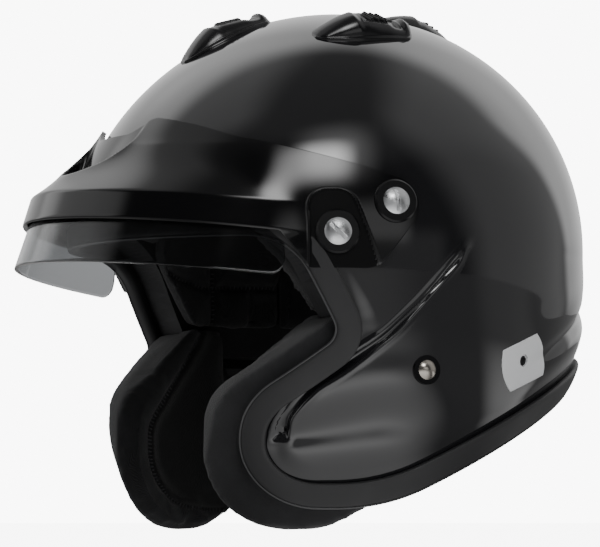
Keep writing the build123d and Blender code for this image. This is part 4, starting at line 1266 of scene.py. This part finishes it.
# Soft boxes by bearing, height, half width, half height, softness and strength
SOFT_BOXES = [
    (-112, 34, 50, 24, 0.45, 1.0),
    (70, 42, 3, 2, 0.2, 9.5),
    (77, 46, 2, 2, 0.3, 1.3),
    (88, 14, 12, 3, 0.16, 0.9),
    (100, 3, 16, 2, 0.16, 0.16),
    (-50, 57, 20, 12, 0.35, 0.4),
    (-32, 8, 30, 24, 0.25, 0.9),
    (165, 30, 22, 30, 0.5, 0.42),
    (-140, 80, 40, 40, 0.6, 0.12),
]
# Brighter sectors of the floor by bearing, half width, softness and strength
FLOOR_PATCHES = [(74, 8, 32, 1.6), (150, 5, 14, 1.1), (-60, 60, 40, 0.5)]

# The photograph's frame and the fitted camera, in its pixels, metres and degrees
PHOTO_WIDTH, PHOTO_HEIGHT, FOCAL_LENGTH = 600, 547, 3570.5
MIDDLE_RIGHT, MIDDLE_DOWN = 327.5, 260.0
VIEW_HEIGHT, VIEW_DISTANCE, VIEW_BEARING, VIEW_LIFT = 0.139, 1.85, 63.0, -4.2
SENSOR = 36.0


def heading(bearing, lift=0.0):
    """Unit direction of a bearing, from the front round by the left, and a height, in degrees."""
    b, e = math.radians(bearing), math.radians(lift)
    return Vector((math.sin(b) * math.cos(e), -math.cos(b) * math.cos(e), math.sin(e)))


def unless_seen(tree, light, shown):
    """The light's strength, or what the camera is shown where it looks straight at the surface."""
    seen = new_node(tree, "LightPath").outputs["Is Camera Ray"]
    return new_node(tree, "Mix", {"Factor": seen, "A": light, "B": shown}).outputs["Result"]


def stage_floor():
    """A wide pale light table under the helmet, brightest in a ring round it and in its sectors."""
    mesh = bpy.data.meshes.new("floor")
    corners = [(x * FLOOR_REACH, y * FLOOR_REACH, 0) for x, y in ((-1, -1), (1, -1), (1, 1), (-1, 1))]
    mesh.from_pydata(corners, [], [(0, 1, 2, 3)])
    floor = bpy.data.objects.new("floor", mesh)
    bpy.context.scene.collection.objects.link(floor)
    material = new_material("pale_floor", (FLOOR_ALBEDO,) * 3, 0.9, Emission_Color=(1, 1, 1, 1))
    tree = material.node_tree
    place = object_place(tree)
    away = new_node(tree, "VectorMath", {0: place}, operation="LENGTH").outputs["Value"]
    under = ramp_between(tree, away, 0.12, 0.34, 0.5, 1.0)
    near = ramp_between(tree, away, 0.25, 0.85, under, 0.12)
    flat = new_node(tree, "VectorMath", {0: place}, operation="NORMALIZE").outputs["Vector"]
    total = FLOOR_LEAST
    for bearing, width, softness, strength in FLOOR_PATCHES:
        agree = dot_product(tree, flat, heading(bearing))
        start, full = (math.cos(math.radians(angle)) for angle in (width + softness, width))
        total = maths(tree, "ADD", ramp_between(tree, agree, start, full, 0.0, strength), total)
    glow = unless_seen(tree, maths(tree, "MULTIPLY", near, total), FLOOR_GLOW)
    tree.links.new(glow, tree.nodes["Principled BSDF"].inputs["Emission Strength"])
    mesh.materials.append(material)
    floor.location.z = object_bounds()[0][2] - FLOOR_GAP


def soft_box_group():
    """One soft-edged rectangle of light in the surround: the direction is turned into the box's own
    across and up slopes, and eased to nothing past its half sizes."""
    group, given, filled_in = group_named("soft_box", [
        ("Direction", "Vector", None), ("Ahead", "Vector", None), ("Across", "Vector", None),
        ("Up", "Vector", None), ("Half Width", "Float", 0.5), ("Half Height", "Float", 0.5),
        ("Softness", "Float", 0.3), ("Strength", "Float", 1.0),
    ], [("Light", "Float")])
    agree = dot_product(group, given["Direction"], given["Ahead"])
    light = maths(group, "MULTIPLY", given["Strength"], maths(group, "GREATER_THAN", agree, 0.001))
    ahead = maths(group, "MAXIMUM", agree, 0.001)
    for way, half in (("Across", "Half Width"), ("Up", "Half Height")):
        offset = dot_product(group, given["Direction"], given[way])
        slope = maths(group, "ABSOLUTE", maths(group, "DIVIDE", offset, ahead))
        outer = maths(group, "ADD", given[half], given["Softness"])
        light = maths(group, "MULTIPLY", light, ramp_between(group, slope, given[half], outer, 1.0, 0.0))
    group.links.new(light, filled_in["Light"])
    return group


def surround():
    """A pale backdrop to the eye and, as light, a dim room with soft boxes."""
    world = bpy.data.worlds.new("surround")
    bpy.context.scene.world = world
    world.use_nodes = True
    tree = world.node_tree
    direction = new_node(tree, "TexCoord").outputs["Generated"]
    group = soft_box_group()
    total = ROOM_LIGHT
    for bearing, lift, width, height, softness, strength in SOFT_BOXES:
        ahead, across = heading(bearing, lift), heading(bearing + 90.0)
        half_width, half_height = (math.tan(math.radians(angle)) for angle in (width, height))
        node = new_node(tree, "Group", node_tree=group)
        tree.links.new(direction, node.inputs["Direction"])
        for label, value in (("Ahead", ahead), ("Across", across), ("Up", ahead.cross(across)),
                             ("Half Width", half_width), ("Half Height", half_height),
                             ("Softness", softness), ("Strength", strength)):
            node.inputs[label].default_value = value
        total = maths(tree, "ADD", node.outputs["Light"], total)
    back = tree.nodes["Background"].inputs
    back["Color"].default_value = (1, 1, 1, 1)
    tree.links.new(unless_seen(tree, total, BACKDROP_LIGHT), back["Strength"])


def view_camera():
    """Camera at the photograph's place: low, to the wearer's front left."""
    camera = bpy.data.cameras.new("view")
    camera.sensor_width = SENSOR
    camera.lens = FOCAL_LENGTH / PHOTO_WIDTH * SENSOR
    camera.shift_x = (PHOTO_WIDTH / 2 - MIDDLE_RIGHT) / PHOTO_WIDTH
    camera.shift_y = (MIDDLE_DOWN - PHOTO_HEIGHT / 2) / PHOTO_WIDTH
    camera.clip_end = 40.0
    holder = bpy.data.objects.new("view", camera)
    back = heading(VIEW_BEARING, VIEW_LIFT)
    holder.location = Vector((0, 0, VIEW_HEIGHT)) + back * VIEW_DISTANCE
    holder.rotation_euler = (-back).to_track_quat("-Z", "Y").to_euler()
    bpy.context.scene.collection.objects.link(holder)
    bpy.context.scene.camera = holder


stage_floor()
surround()
view_camera()
